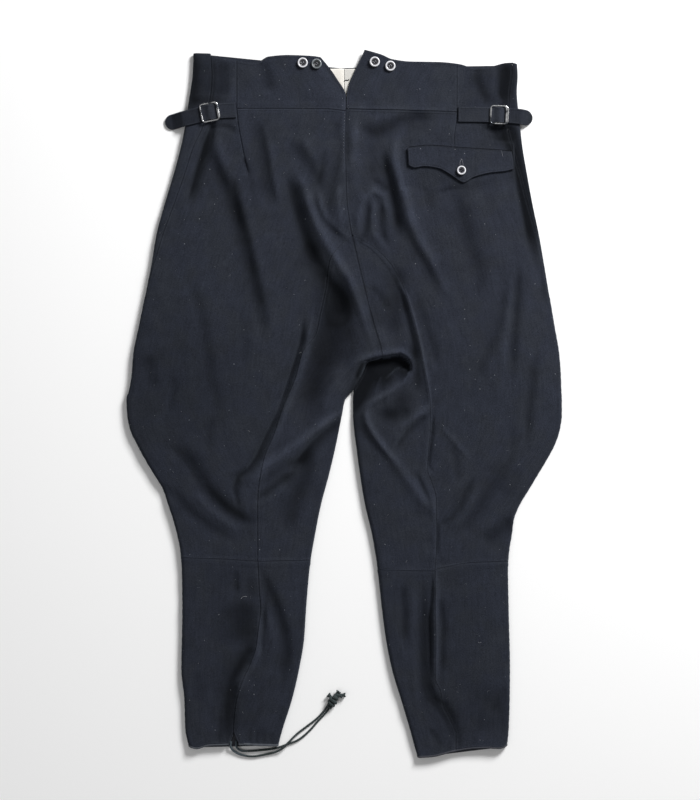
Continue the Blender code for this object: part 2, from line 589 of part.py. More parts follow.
def inner_leg(side):
    """Inner leg and seat piece, from a point at the centre back seam to the knee."""
    data = SIDE_DATA[side]
    edge = EDGES[data["inner"]]
    thigh, knee = smooth_line(data["thigh"]), smooth_line(data["knee"])

    def end(y):
        return edge.q(thigh(y), y)

    def shift(x, y):
        return weight(y, data["knee_y"], data["knee_y"] + 60) * (knee(x) - data["knee_y"])

    rows = [INNER_LEG_TOP] + ROWS_THIGH + [data["knee_y"]]
    q, y = settle(edge, rows, [np.zeros_like, end], [edge_shares(INNER_LEG_COLUMNS)], shift)
    return wall_on("inner_leg_" + side, edge, q, y)


def calf_panel(side, part):
    """Back of the calf, outside or inside its seam, from the knee seam to the hem binding."""
    data = SIDE_DATA[side]
    edge = EDGES[data["outer"] if part == "outer" else data["inner"]]
    calf = smooth_line(data["calf"])
    slit = smooth_line(HEM_SLIT)
    knee, hem = smooth_line(data["knee"]), smooth_line(data["hem"])
    shares = [edge_shares(CALF_OUTER_COLUMNS if part == "outer" else INNER_LEG_COLUMNS)]
    open_by = 1.0 if side == "left" else 0.0
    gap = SEAM_GAP if part == "outer" else 0.0

    def end(y):
        return edge.q(calf(y) - edge.inward * (slit(y) * open_by + gap), y)

    def shift(x, y):
        share = (y - data["hem_y"]) / (data["knee_y"] - data["hem_y"])
        top = knee(x) - SEAM_GAP
        bottom = hem(x) + BINDING + SEAM_GAP
        return bottom + (top - bottom) * share - y

    rows = data["hem_y"] + CALF_SHARES * (data["knee_y"] - data["hem_y"])
    q, y = settle(edge, rows, [np.zeros_like, end], shares, shift)
    return wall_on("calf_%s_%s" % (part, side), edge, q, y)


def back_rise(side):
    """Raised centre back piece, from the waist seam up to its curved top and the V notch."""
    data = SIDE_DATA[side]
    edge = EDGES[data["inner"]]
    notch = smooth_line(NOTCH_LEFT if side == "left" else NOTCH_RIGHT)
    dart, top, waist = (smooth_line(data[key]) for key in ("dart", "top", "waist"))
    gap = SEAM_GAP * data["sign"]
    shares = np.linspace(0, 1, 11)[None, :]
    lift = np.linspace(1, 0, 6)[:, None]
    y = WAIST_SEAM + lift * (WAIST_TOP - WAIST_SEAM) + 0 * shares
    for _ in range(12):
        start = notch(y) + max(gap, 0)
        x = start + shares * (dart(y) - gap - start)
        y = waist(x) + lift * (top(x) - waist(x))
    q = edge.inward * (x - edge.line(y)) - ROLL + QUARTER

    def surface(q_, y_):
        x_ = edge.line(y_) + edge.inward * (q_ - QUARTER + ROLL)
        return np.stack([x_, y_, top_height(x_, y_)], axis=-1)

    outer = surface(q, y)
    inner = outer - WOOL * outward(surface, q, y, edge.inward)
    return make_wall("back_rise_" + side, "wool", outer, inner)


def front_panel(side):
    """Front, flat on the surface, rolled up at both edges and over to the side seam."""
    data = SIDE_DATA[side]
    inner, outer = EDGES[data["front"]], EDGES[data["outer"]]
    top, knee, hem = smooth_line(FRONT_TOP), smooth_line(data["knee"]), smooth_line(data["hem"])
    back_top = smooth_line(data["top"])
    seam = side_seam(data)
    knee_y, hem_y = data["knee_y"], data["hem_y"]
    rows = np.array(ROWS_SEAT + ROWS_THIGH
                    + list(hem_y + CALF_SHARES * (knee_y - hem_y)))[:, None]

    def row_y(x, wrap_share):
        share = (rows - hem_y) / (knee_y - hem_y)
        bottom = hem(x) + BINDING + SEAM_GAP
        calf = bottom + (knee(x) - bottom) * share
        edge_top = top(x) + (back_top(x) - top(x)) * wrap_share * (side == "right")
        seat = rows + weight(rows, WAIST_TOP, WAIST_SEAM) * (edge_top - WAIST_TOP)
        seat = seat + weight(rows, knee_y, knee_y + 60) * (knee(x) - knee_y)
        return np.where(rows > knee_y, seat, calf)

    # Columns: under the inner edge, under the outer edge, then up over the outer edge
    columns = [(inner, share, False) for share in (0.0, 0.5, 1.0)]
    columns += [(outer, share, False) for share in (1.0, 0.5, 0.0)]
    columns += [(outer, share, True) for share in (0.4, 1.0)]
    points, normals = [], []
    for edge, share, is_upper in columns:
        y = rows.copy()
        for _ in range(5):
            q = share * (seam(y) if is_upper else QUARTER + 0 * y)
            y = row_y(edge.x(q, y), share * is_upper)
        face = edge.upper if is_upper else edge.lower
        points.append(face(q, y))
        normals.append(outward(face, q, y, edge.inward * (1 if is_upper else -1)))
    outer_face = np.concatenate(points, axis=1)
    outer_face[..., 2] = np.where(outer_face[..., 2] < 1e-6, 0.0, outer_face[..., 2])
    inner_face = outer_face - WOOL * np.concatenate(normals, axis=1)
    cells = np.ones((len(rows) - 1, len(columns) - 1), bool)
    first_free = int(np.argmax(rows[:, 0] <= WRAP_END))
    cells[first_free:, len(columns) - 3:] = False
    return make_wall("front_" + side, "wool", outer_face, inner_face, cells)


def hem_binding(side):
    """Narrow binding round the hem of a leg, open at the calf seam."""
    data = SIDE_DATA[side]
    inner, outer = EDGES[data["inner"]], EDGES[data["outer"]]
    calf, slit, hem = smooth_line(data["calf"]), smooth_line(HEM_SLIT), smooth_line(data["hem"])
    open_by = 1.0 if side == "left" else 0.0
    columns = [(outer, share, True) for share in edge_shares(CALF_OUTER_COLUMNS)[::-1]]
    columns += [(outer, 0.5, False), (outer, 1.0, False), (inner, 1.0, False), (inner, 0.5, False)]
    columns += [(inner, share, True) for share in edge_shares(INNER_LEG_COLUMNS)]
    points, normals = [], []
    for edge, share, is_upper in columns:
        lift = np.array([[BINDING], [0.0]])
        y = data["hem_y"] + lift
        for _ in range(6):
            end = edge.q(calf(y) - edge.inward * (slit(y) * open_by + SEAM_GAP), y)
            q = share * (end if is_upper else QUARTER + 0 * y)
            y = hem(edge.x(q, y)) + lift
        face = edge.upper if is_upper else edge.lower
        points.append(face(q, y))
        normals.append(outward(face, q, y, edge.inward * (1 if is_upper else -1)))
    outer_face = np.concatenate(points, axis=1)
    inner_face = outer_face - WOOL * np.concatenate(normals, axis=1)
    return make_wall("hem_binding_" + side, "binding", outer_face, inner_face)


def flat_patch(name, colour, x, low_y, high_y, z, thick):
    """A flat piece between two curves, over the given columns."""
    share = np.linspace(1, 0, 3)[:, None]
    y = low_y + share * (high_y - low_y)
    x = x + 0 * y
    top = np.stack([x, y, np.full(y.shape, z + thick)], axis=-1)
    bottom = np.stack([x, y, np.full(y.shape, z)], axis=-1)
    return make_wall(name, colour, top, bottom)


def waist_facing(side):
    """Cotton facing on the inside of a front, as far as the notch shows it."""
    front_top = smooth_line(FRONT_TOP)
    ends = (-FACING_REACH, 0.0) if side == "left" else (SEAM_GAP, FACING_REACH)
    x = np.linspace(ends[0], ends[1], 5)[None, :]
    return flat_patch("facing_" + side, "facing", x, FACING_LOW + 0 * x,
                      front_top(x) - FACING_DROP, WOOL + SEAM_GAP, FACING)


# ---------------------------------------------------------------- what lies on the panels

class Ground:
    """The pieces that others lie on. Heights are read from their own faces."""

    def __init__(self, things):
        points, faces = [], []
        for thing in things:
            first = len(points)
            points += [corner.co / MM for corner in thing.data.vertices]
            faces += [[first + i for i in face.vertices] for face in thing.data.polygons]
        self.tree = BVHTree.FromPolygons(points, faces)

    def height(self, x, y):
        hit = self.tree.ray_cast(Vector((x, y, 100.0)), Vector((0, 0, -1)))[0]
        return hit.z if hit else 0.0

    def highest(self, x, y, reach):
        """The highest point within a reach of a place."""
        around = [(0.0, 0.0)]
        for part in (0.5, 1.0):
            for turn in range(8):
                angle = turn * math.pi / 4
                around.append((part * reach * math.cos(angle), part * reach * math.sin(angle)))
        return max(self.height(x + dx, y + dy) for dx, dy in around)


def rounded_route(route, step):
    """Points a step apart along a smooth curve through the route's points."""
    route = [Vector(point) for point in route]
    route = [2 * route[0] - route[1]] + route + [2 * route[-1] - route[-2]]
    fine = []
    for a, b, c, d in zip(route, route[1:], route[2:], route[3:]):
        for i in range(20):
            t = i / 20
            fine.append(0.5 * (2 * b + (c - a) * t + (2 * a - 5 * b + 4 * c - d) * t ** 2
                               + (3 * b - a - 3 * c + d) * t ** 3))
    fine.append(route[-2])
    run = [0.0]
    for a, b in zip(fine, fine[1:]):
        run.append(run[-1] + (b - a).length)
    count = max(2, round(run[-1] / step))
    points = []
    for i in range(count + 1):
        want = run[-1] * i / count
        k = max(n for n in range(len(run)) if run[n] <= want + 1e-9)
        if k == len(run) - 1:
            points.append(fine[-1])
        else:
            points.append(fine[k].lerp(fine[k + 1], (want - run[k]) / (run[k + 1] - run[k])))
    return points


def pocket_flap(ground):
    """Pointed flap of the hip pocket, lying on the back."""
    top, bottom = smooth_line(FLAP_TOP), smooth_line(FLAP_BOTTOM)
    left, right = smooth_line(FLAP_SIDES, 1), smooth_line(FLAP_SIDES, 2)
    across = np.linspace(0, 1, 17)[None, :]
    down = np.linspace(1, 0, 5)[:, None]
    y = 340 + 0 * (across + down)
    for _ in range(6):
        x = left(y) + across * (right(y) - left(y))
        y = bottom(x) + down * (top(x) - bottom(x))
    under = np.array([[ground.highest(a, b, FLAP_REACH) for a, b in zip(*row)]
                      for row in zip(x, y)]) + REST_GAP
    lower = np.stack([x, y, under], axis=-1)
    upper = np.stack([x, y, under + FLAP_THICK], axis=-1)
    return make_wall("pocket_flap", "wool", upper, lower)


def strap_course(route, ground):
    """Stations down a strap: place, direction, and the height of its underside."""
    places = rounded_route([(x, y, 0) for x, y in route], 1.0)
    ways = [(b - a).normalized() for a, b in zip(places, places[1:])]
    ways.append(ways[-1])
    bare = []
    for place, way in zip(places, ways):
        across = Vector((-way.y, way.x, 0))
        marks = [place + across * STRAP_FEEL * n / 4 for n in range(-4, 5)]
        bare.append(max(ground.height(mark.x, mark.y) for mark in marks))
    reach = int(STRAP_DRAPE)
    count = len(bare)
    raised = [max(bare[max(0, i - reach):i + reach + 1]) for i in range(count)]
    under = []
    for i in range(count):
        window = raised[max(0, i - reach):i + reach + 1]
        under.append(sum(window) / len(window) + REST_GAP)
    return places, ways, under


def strap_and_buckle(side, ground):
    """Cinch strap from the dart seam through its buckle, and the buckle that it holds."""
    route = STRAP_LEFT if side == "left" else STRAP_RIGHT
    x, y, direction = BUCKLE_LEFT if side == "left" else BUCKLE_RIGHT
    places, ways, under = strap_course(route, ground)
    length = len(places) - 1
    at = min(range(length), key=lambda i: (places[i] - Vector((x, y, 0))).length)
    bar_z = under[at] + 0.2 + BUCKLE_BAR
    climbed = [z + BAR_RISE * math.exp(-((i - at) / 5.0) ** 2) for i, z in enumerate(under)]
    beside = [climbed[i] for i in range(length) if 8 <= abs(i - at) <= 15]
    frame_z = max(beside) + STRAP_THICK + SEAM_GAP + BUCKLE_THICK / 2

    half = STRAP_WIDTH / 2
    stations = list(range(0, length - int(half), int(STRAP_STEP)))
    stations = sorted(set(stations + [at - 3, at, at + 3]))
    stations += [length - half * (1 - math.sin(turn)) for turn in (0.0, 0.5, 0.9, 1.2, 1.42)]
    top = np.zeros((len(stations), 3, 3))
    for row, station in enumerate(stations):
        i = min(int(station), length - 1)
        place = places[i].lerp(places[i + 1], station - i)
        past = max(0.0, (station - (length - half)) / half)
        wide = half * math.sqrt(1 - past ** 2)
        across = Vector((-ways[i].y, ways[i].x, 0))
        z = climbed[i] + (climbed[i + 1] - climbed[i]) * (station - i)
        for column, share in enumerate((-1, 0, 1)):
            spot = place + across * wide * share
            top[row, column] = (spot.x, spot.y, z + STRAP_THICK)
    bottom = top - np.array([0, 0, STRAP_THICK])
    strap = make_wall("strap_" + side, "wool_strap", top, bottom)
    return strap, buckle("buckle_" + side, (x, y, frame_z), math.radians(direction), bar_z)


def rounded_rectangle(length, width, radius):
    """Corner arcs of a rectangle round the origin, as a closed run of points."""
    points = []
    for quarter, (sx, sy) in enumerate(((1, 1), (-1, 1), (-1, -1), (1, -1))):
        for turn in range(4):
            angle = math.pi / 2 * (quarter + turn / 3)
            points.append(Vector((sx * (length / 2 - radius) + radius * math.cos(angle),
                                  sy * (width / 2 - radius) + radius * math.sin(angle), 0)))
    return points


def ring_mesh(rings, closed):
    """A bmesh through rings of points: closed on itself, or with a cap at each end."""
    mesh = bmesh.new()
    made = [[mesh.verts.new(point * MM) for point in ring] for ring in rings]
    count = len(made[0])
    pairs = list(zip(made, made[1:])) + ([(made[-1], made[0])] if closed else [])
    for first, second in pairs:
        for i in range(count):
            k = (i + 1) % count
            mesh.faces.new([first[i], first[k], second[k], second[i]])
    if not closed:
        mesh.faces.new(list(reversed(made[0])))
        mesh.faces.new(made[-1])
    return mesh


def swept_tube(course, sides):
    """Rings of a round tube along (x, y, z, radius) rows, for ring_mesh."""
    centres = [Vector(row[:3]) for row in course]
    rings = []
    for i, row in enumerate(course):
        before = centres[max(i - 1, 0)]
        after = centres[min(i + 1, len(centres) - 1)]
        way = (after - before).normalized()
        over = Vector((0, 0, 1)) if abs(way.z) < 0.8 else Vector((1, 0, 0))
        right = way.cross(over).normalized()
        up = right.cross(way)
        rings.append([centres[i] + row[3] * (right * math.cos(angle) + up * math.sin(angle))
                      for angle in (2 * math.pi * n / sides for n in range(sides))])
    return rings


def joined(base, others, operation):
    """Apply a Boolean of the others to a base object, and remove them."""
    for other in others:
        change = base.modifiers.new(operation.lower(), "BOOLEAN")
        change.operation = operation
        change.object = other
    bpy.context.view_layer.update()
    result = bpy.data.meshes.new_from_object(
        base.evaluated_get(bpy.context.evaluated_depsgraph_get()))
    base.modifiers.clear()
    result.name = base.name
    base.data = result
    for other in others:
        bpy.data.objects.remove(other)
    return base


def buckle(name, place, angle, bar_z):
    """Rounded metal frame over the strap, with its bar under the strap."""
    outer = rounded_rectangle(BUCKLE_LENGTH, BUCKLE_WIDTH, BUCKLE_CORNER)
    inner = rounded_rectangle(BUCKLE_LENGTH - 2 * BUCKLE_SIDE, BUCKLE_WIDTH - 2 * BUCKLE_RAIL,
                              1.6)
    rings = []
    for out, into in zip(outer, inner):
        middle, half = (out + into) / 2, (out - into) / 2
        rings.append([middle + half * math.cos(turn)
                      + Vector((0, 0, BUCKLE_THICK / 2 * math.sin(turn)))
                      for turn in (2 * math.pi * (n + 0.5) / 6 for n in range(6))])
    frame = add_object(name, ring_mesh(rings, True), "buckle")
    rail = (BUCKLE_WIDTH - BUCKLE_RAIL) / 2
    low = bar_z - place[2]
    radius = BUCKLE_BAR * 0.86
    bar = add_object(name + "_bar", ring_mesh(swept_tube([
        (0, rail, 0.2, radius), (0, rail, low + 0.6, radius), (0, rail - 0.8, low, radius),
        (0, 0.8 - rail, low, radius), (0, -rail, low + 0.6, radius), (0, -rail, 0.2, radius),
    ], 8), False), "buckle")
    joined(frame, [bar], "UNION")
    turn = Matrix.Translation(Vector(place) * MM) @ Matrix.Rotation(angle, 4, "Z")
    frame.data.transform(turn)
    return frame


def button(name, x, y, radius, ground):
    """Four-hole sewn button with a raised rim and a dished middle."""
    z = ground.highest(x, y, radius) + REST_GAP + BUTTON_SHANK
    profile = [
        (0.0, 0.0), (radius - 1.0, 0.0), (radius, 1.2), (radius - 0.3, 2.4),
        (radius - 1.3, BUTTON_HEIGHT), (radius - 3.0, 1.8), (0.0, 1.6),
    ]
    mesh = bmesh.new()
    line = [mesh.verts.new((r * MM, 0, h * MM)) for r, h in profile]
    run = [mesh.edges.new(pair) for pair in zip(line, line[1:])]
    bmesh.ops.spin(mesh, geom=line + run, axis=(0, 0, 1), cent=(0, 0, 0), steps=18,
                   angle=2 * math.pi)
    bmesh.ops.remove_doubles(mesh, verts=mesh.verts, dist=1e-6)
    disc = add_object(name, mesh, "button")
    holes = []
    for n in range(4):
        angle = math.pi / 4 + n * math.pi / 2
        across = BUTTON_HOLE_RING * math.cos(angle), BUTTON_HOLE_RING * math.sin(angle)
        course = [(*across, -1.0, BUTTON_HOLE), (*across, BUTTON_HEIGHT + 1, BUTTON_HOLE)]
        holes.append(add_object("hole", ring_mesh(swept_tube(course, 6), False), "button"))
    joined(disc, holes, "DIFFERENCE")
    disc.data.transform(Matrix.Translation(Vector((x, y, z)) * MM))
    return disc


def drawstring(name, route):
    """A free strand of the hem's drawstring, as a tube on a smooth course."""
    points = rounded_route(route, CORD_STEP)
    curve = bpy.data.curves.new(name, "CURVE")
    curve.dimensions = "3D"
    curve.bevel_depth = CORD / 2 * MM
    curve.bevel_resolution = 2
    curve.use_fill_caps = True
    line = curve.splines.new("POLY")
    line.points.add(len(points) - 1)
    for spot, point in zip(line.points, points):
        spot.co = (*(point * MM), 1)
    strand = bpy.data.objects.new(name, curve)
    bpy.context.scene.collection.objects.link(strand)
    curve.materials.append(material(name, "cord"))
    return strand


def drawstring_knot():
    """The knot that ties the two strands, with its short tails."""
    name = "drawstring_knot"
    knot = add_object(name, ring_mesh(swept_tube(KNOT_BODY, 10), False), "cord")
    tails = [add_object("tail", ring_mesh(swept_tube(tail, 8), False), "cord")
             for tail in KNOT_TAILS]
    return joined(knot, tails, "UNION")


# ---------------------------------------------------------------- the garment

def build():
    for thing in list(bpy.data.objects):
        bpy.data.objects.remove(thing)
    panels = []
    for side in ("left", "right"):
        panels += [back_panel(side), inner_leg(side), back_rise(side), front_panel(side)]
        panels += [calf_panel(side, "outer"), calf_panel(side, "inner")]
        hem_binding(side)
        waist_facing(side)
    slit_x = np.linspace(SLIT_MIDDLE - SLIT_FACING, SLIT_MIDDLE + SLIT_FACING, 3)[None, :]
    flat_patch("hem_facing_left", "binding", slit_x, SLIT_LOW + 0 * slit_x,
               SLIT_HIGH + 0 * slit_x, WOOL + SEAM_GAP, FACING)
    ground = Ground(panels)
    flap = pocket_flap(ground)
    for side in ("left", "right"):
        strap_and_buckle(side, ground)
    for number, (x, y) in enumerate(BRACE_BUTTONS, start=1):
        button("brace_button_%d" % number, x, y, BUTTON_RADIUS, ground)
    button("pocket_button", *POCKET_BUTTON, POCKET_BUTTON_RADIUS, Ground([flap]))
    drawstring("drawstring_a", CORD_A)
    drawstring("drawstring_b", CORD_B)
    drawstring_knot()


build()
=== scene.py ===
# %% [markdown]
# # Riding-cut knee breeches, laid flat
#
# These breeches are wide over the seat and thighs and close on the calves. They lie on a
# table with their back side up. A maker cuts two fronts, two backs, two inner legs, four
# calf pieces and a raised centre back, and sews on straps, a pocket flap and buttons.
# Each of those pieces is one mesh here. Cloth lies where its neighbours leave it room, so
# every piece reads its height from one function, and the seams then meet by themselves.

# %% Frame and tools
import json
import math

import bmesh
import bpy
import numpy as np
from mathutils import Matrix, Vector
from mathutils.bvhtree import BVHTree

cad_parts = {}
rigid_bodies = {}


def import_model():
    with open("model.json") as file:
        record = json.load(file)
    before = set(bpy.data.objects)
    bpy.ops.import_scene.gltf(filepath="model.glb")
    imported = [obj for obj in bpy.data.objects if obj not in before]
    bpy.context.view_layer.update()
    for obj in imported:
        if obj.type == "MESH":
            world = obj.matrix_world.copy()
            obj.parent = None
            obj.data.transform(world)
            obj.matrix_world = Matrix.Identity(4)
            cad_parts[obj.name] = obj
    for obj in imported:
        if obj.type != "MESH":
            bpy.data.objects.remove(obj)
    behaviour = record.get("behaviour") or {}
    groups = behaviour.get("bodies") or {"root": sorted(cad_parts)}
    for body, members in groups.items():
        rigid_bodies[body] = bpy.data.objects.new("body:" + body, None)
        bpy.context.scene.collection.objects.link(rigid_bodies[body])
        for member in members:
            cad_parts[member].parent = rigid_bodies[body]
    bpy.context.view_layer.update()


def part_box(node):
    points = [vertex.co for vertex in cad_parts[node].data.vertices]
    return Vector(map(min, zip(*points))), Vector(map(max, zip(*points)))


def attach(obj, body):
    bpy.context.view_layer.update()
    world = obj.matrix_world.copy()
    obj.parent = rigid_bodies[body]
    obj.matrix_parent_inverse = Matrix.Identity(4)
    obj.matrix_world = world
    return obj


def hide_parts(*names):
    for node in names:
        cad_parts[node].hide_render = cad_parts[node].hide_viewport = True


for thing in list(bpy.data.objects):
    bpy.data.objects.remove(thing)
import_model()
MM = 0.001

# %% [markdown]
# ## Helpers
#
# A few small helpers place objects, set materials up and write every node tree below, for
# the surfaces and for what repeats. A socket is linked, and a plain value is set.

# %% Objects and materials
def placed(name, data):
    """A new object in the scene, with its place in its own data."""
    made = bpy.data.objects.new(name, data)
    bpy.context.scene.collection.objects.link(made)
    return made


def new_material(name, roughness, **constants):
    """A material, its tree and its Principled shader, with constants set on the sockets."""
    made = bpy.data.materials.new(name)
    made.use_nodes = True
    tree = made.node_tree
    shader = tree.nodes["Principled BSDF"]
    shader.inputs["Roughness"].default_value = roughness
    for key, value in constants.items():
        shader.inputs[key.replace("_", " ")].default_value = value
    return made, tree, shader


# %% Node helpers
def node(tree, kind, inputs=(), **settings):
    """Add a node. Its inputs are given by name or number, as sockets or as values."""
    made = tree.nodes.new(kind)
    for key, value in settings.items():
        setattr(made, key, value)
    for key, value in dict(inputs).items():
        if isinstance(value, bpy.types.NodeSocket):
            tree.links.new(value, made.inputs[key])
        else:
            made.inputs[key].default_value = value
    return made


def node_group(name, kind, inputs, outputs):
    """A node group with named sockets, and its input node's and output node's sockets."""
    tree = bpy.data.node_groups.new(name, kind)
    for label, sort, value in inputs:
        socket = tree.interface.new_socket(label, in_out="INPUT", socket_type="NodeSocket" + sort)
        if value is not None:
            socket.default_value = value
    for label, sort in outputs:
        tree.interface.new_socket(label, in_out="OUTPUT", socket_type="NodeSocket" + sort)
    return tree, node(tree, "NodeGroupInput").outputs, node(tree, "NodeGroupOutput").inputs


def maths(tree, operation, a, b=0.0):
    """The result of one Math node."""
    return node(tree, "ShaderNodeMath", {0: a, 1: b}, operation=operation).outputs[0]


def times(tree, first, *others):
    """The product of sockets and numbers, taken from the left."""
    for other in others:
        first = maths(tree, "MULTIPLY", first, other)
    return first


def plus(tree, first, second):
    """The sum of two sockets or numbers."""
    return maths(tree, "ADD", first, second)


def vector(tree, operation, a, b=None, scale=None):
    """The result of one Vector Math node."""
    inputs = {0: a} | ({} if b is None else {1: b}) | ({} if scale is None else {"Scale": scale})
    return node(tree, "ShaderNodeVectorMath", inputs, operation=operation).outputs[0]


def noise(tree, place, scale, detail, **more):
    """Soft random values in space."""
    return node(tree, "ShaderNodeTexNoise", {"Vector": place, "Scale": scale, "Detail": detail}
                | more).outputs[0]


def ranged(tree, value, low, high, first=0.0, last=1.0):
    """A value between first and last, as the given one goes from low to high."""
    return node(tree, "ShaderNodeMapRange", {"Value": value, "From Min": low, "From Max": high,
                                             "To Min": first, "To Max": last}).outputs[0]


def blend_colours(tree, share, low, high):
    """The colour between two others."""
    return node(tree, "ShaderNodeMix", {0: share, 6: low, 7: high}, data_type="RGBA").outputs[2]


def own_place(tree):
    """A point of the surface in the piece's own coordinates."""
    return node(tree, "ShaderNodeTexCoord").outputs["Object"]


def attribute(tree, name):
    """A value that the mesh holds at each point."""
    return node(tree, "ShaderNodeAttribute", attribute_name=name).outputs["Fac"]


def use_group(tree, group, inputs):
    """Place a shader group in a material."""
    return node(tree, "ShaderNodeGroup", inputs, node_tree=group).outputs


def bump(tree, shader, height, distance, strength=1.0):
    """Give the shader a relief."""
    made = node(tree, "ShaderNodeBump", {"Height": height, "Distance": distance,
                                         "Strength": strength})
    tree.links.new(made.outputs[0], shader.inputs["Normal"])


def end_growth(tree, geometry, given, made):
    """End a Geometry Nodes tree: real faces in place of copies, in the given material."""
    real = node(tree, "GeometryNodeRealizeInstances", {"Geometry": geometry})
    final = node(tree, "GeometryNodeSetMaterial", {"Geometry": real.outputs[0],
                                                   "Material": given["Material"]})
    tree.links.new(final.outputs[0], made["Geometry"])
    return tree


def soft(tree, geometry):
    """The same faces, shaded smooth."""
    return node(tree, "GeometryNodeSetShadeSmooth", {"Geometry": geometry}).outputs[0]


print("helpers are ready")

# %% [markdown]
# ## Camera, floor and light
#
# The camera looks straight down on the table. It has a longer lens and stands far away, so
# that perspective doesn't spread the garment's outline. Black wool shows its folds only
# when the light comes from one side more than the others: a wide soft lamp stands behind
# the waist, and a weak one fills the shadows from the hems.

# %% Camera
VIEW_WIDTH = 1.120         # metres of the table seen along the longer side of the view
LENS, SENSOR = 85.0, 36.0
AIM = Vector((0.0084, 0.0056, 0.008))

camera_data = bpy.data.cameras.new("camera")
camera_data.lens, camera_data.sensor_width = LENS, SENSOR
camera = placed("camera", camera_data)
camera.location = AIM + Vector((0, 0, VIEW_WIDTH * LENS / SENSOR))
bpy.context.scene.camera = camera
print("camera height:", round(camera.location.z, 3), "m")

# %% Floor and lamps
FLOOR_HALF = 6.0           # half the width of the floor, metres
FLOOR_LOW = -0.0004        # the floor lies just under the cloth
FLOOR_COLOUR = (0.95, 0.95, 0.95, 1.0)
WORLD_STRENGTH = 0.22
LAMPS = [                  # name, power, size, place, aim
    ("key", 150.0, 1.0, (1.7, 2.1, 1.7), (0.0, 0.0, 0.0)),
    ("fill", 14.0, 2.4, (-1.2, -1.4, 2.6), (0.0, -0.2, 0.0)),
]

floor_mesh = bpy.data.meshes.new("floor")
corners = [(sx * FLOOR_HALF, sy * FLOOR_HALF, FLOOR_LOW)
           for sx, sy in ((-1, -1), (1, -1), (1, 1), (-1, 1))]
floor_mesh.from_pydata(corners, [], [(0, 1, 2, 3)])
floor = placed("floor", floor_mesh)
paper, _, paper_shader = new_material("floor_paper", 0.9)
paper_shader.inputs["Base Color"].default_value = FLOOR_COLOUR
floor_mesh.materials.append(paper)

world = bpy.data.worlds.new("studio")
world.use_nodes = True
world.node_tree.nodes["Background"].inputs["Color"].default_value = (1.0, 1.0, 1.0, 1.0)
world.node_tree.nodes["Background"].inputs["Strength"].default_value = WORLD_STRENGTH
bpy.context.scene.world = world
for lamp_name, power, size, place, aim in LAMPS:
    lamp_data = bpy.data.lights.new(lamp_name, "AREA")
    lamp_data.energy, lamp_data.size = power, size
    lamp = placed(lamp_name, lamp_data)
    lamp.location = place
    lamp.rotation_euler = (Vector(aim) - Vector(place)).to_track_quat("-Z", "Y").to_euler()
bpy.context.scene.view_settings.view_transform = "Standard"
print("lamps:", [row[0] for row in LAMPS])

# %% [markdown]
# ## Drawstring
#
# A round braid is made on a machine whose bobbins run both ways round a ring. Half of the
# strands turn to the left and half to the right, and each one goes over the next and under
# the one after. Two free ends come out of the open hem and are tied together in a knot,
# and their cut tips have begun to fray. Geometry Nodes copies one line for each strand and
# winds it round the cord's course, so any other course gives a braid as well.

# %% Routes and growing
def route_object(name, routes):
    """A curve object with one poly spline through each route's points, in millimetres."""
    curve = bpy.data.curves.new(name, "CURVE")
    curve.dimensions = "3D"
    for route in routes:
        line = curve.splines.new("POLY")
        line.points.add(len(route) - 1)
        for spot, point in zip(line.points, route):
            spot.co = (*(Vector([float(v) for v in point]) * MM), 1)
    return placed(name, curve)


def grown(name, host, tree, inputs):
    """The mesh that a Geometry Nodes tree makes from a host object, as a piece of its own."""
    change = host.modifiers.new("grow", "NODES")
    change.node_group = tree
    for item in tree.interface.items_tree:
        if item.item_type == "SOCKET" and item.in_out == "INPUT" and item.name in inputs:
            change[item.identifier] = inputs[item.name]
    bpy.context.view_layer.update()
    mesh = bpy.data.meshes.new_from_object(host.evaluated_get(bpy.context.evaluated_depsgraph_get()))
    mesh.name = name
    host.modifiers.clear()
    bpy.data.objects.remove(host)
    return placed(name, mesh)


def rounded_route(route, step):
    """Points a step apart along a smooth curve through the route's points."""
    route = np.array(route, float)
    route = np.concatenate([[2 * route[0] - route[1]], route, [2 * route[-1] - route[-2]]])
    t = np.linspace(0, 1, 24, endpoint=False)[:, None]
    fine = [0.5 * (2 * b + (c - a) * t + (2 * a - 5 * b + 4 * c - d) * t ** 2
                   + (3 * b - a - 3 * c + d) * t ** 3)
            for a, b, c, d in zip(route, route[1:], route[2:], route[3:])]
    fine = np.concatenate(fine + [route[-2:-1]])
    run = np.concatenate([[0], np.cumsum(np.linalg.norm(np.diff(fine, axis=0), axis=1))])
    want = np.linspace(0, run[-1], max(2, round(run[-1] / step)) + 1)
    return np.stack([np.interp(want, run, fine[:, k]) for k in range(fine.shape[1])], axis=1)


def directions(points):
    """Unit vectors along a course of points."""
    ways = np.gradient(points, axis=0)
    return ways / np.linalg.norm(ways, axis=1, keepdims=True)


def course_length(points):
    """The length of a course of points, in millimetres."""
    return float(np.linalg.norm(np.diff(points, axis=0), axis=1).sum())


# %% Braid
FRAY_SPREAD = 0.9          # how much wider the parted strands stand at a frayed tip
BRAID_STEP = 0.0007        # between the points of a strand, metres
BRAID_WAVE = 0.11          # how far a strand goes out over another one, and in under it


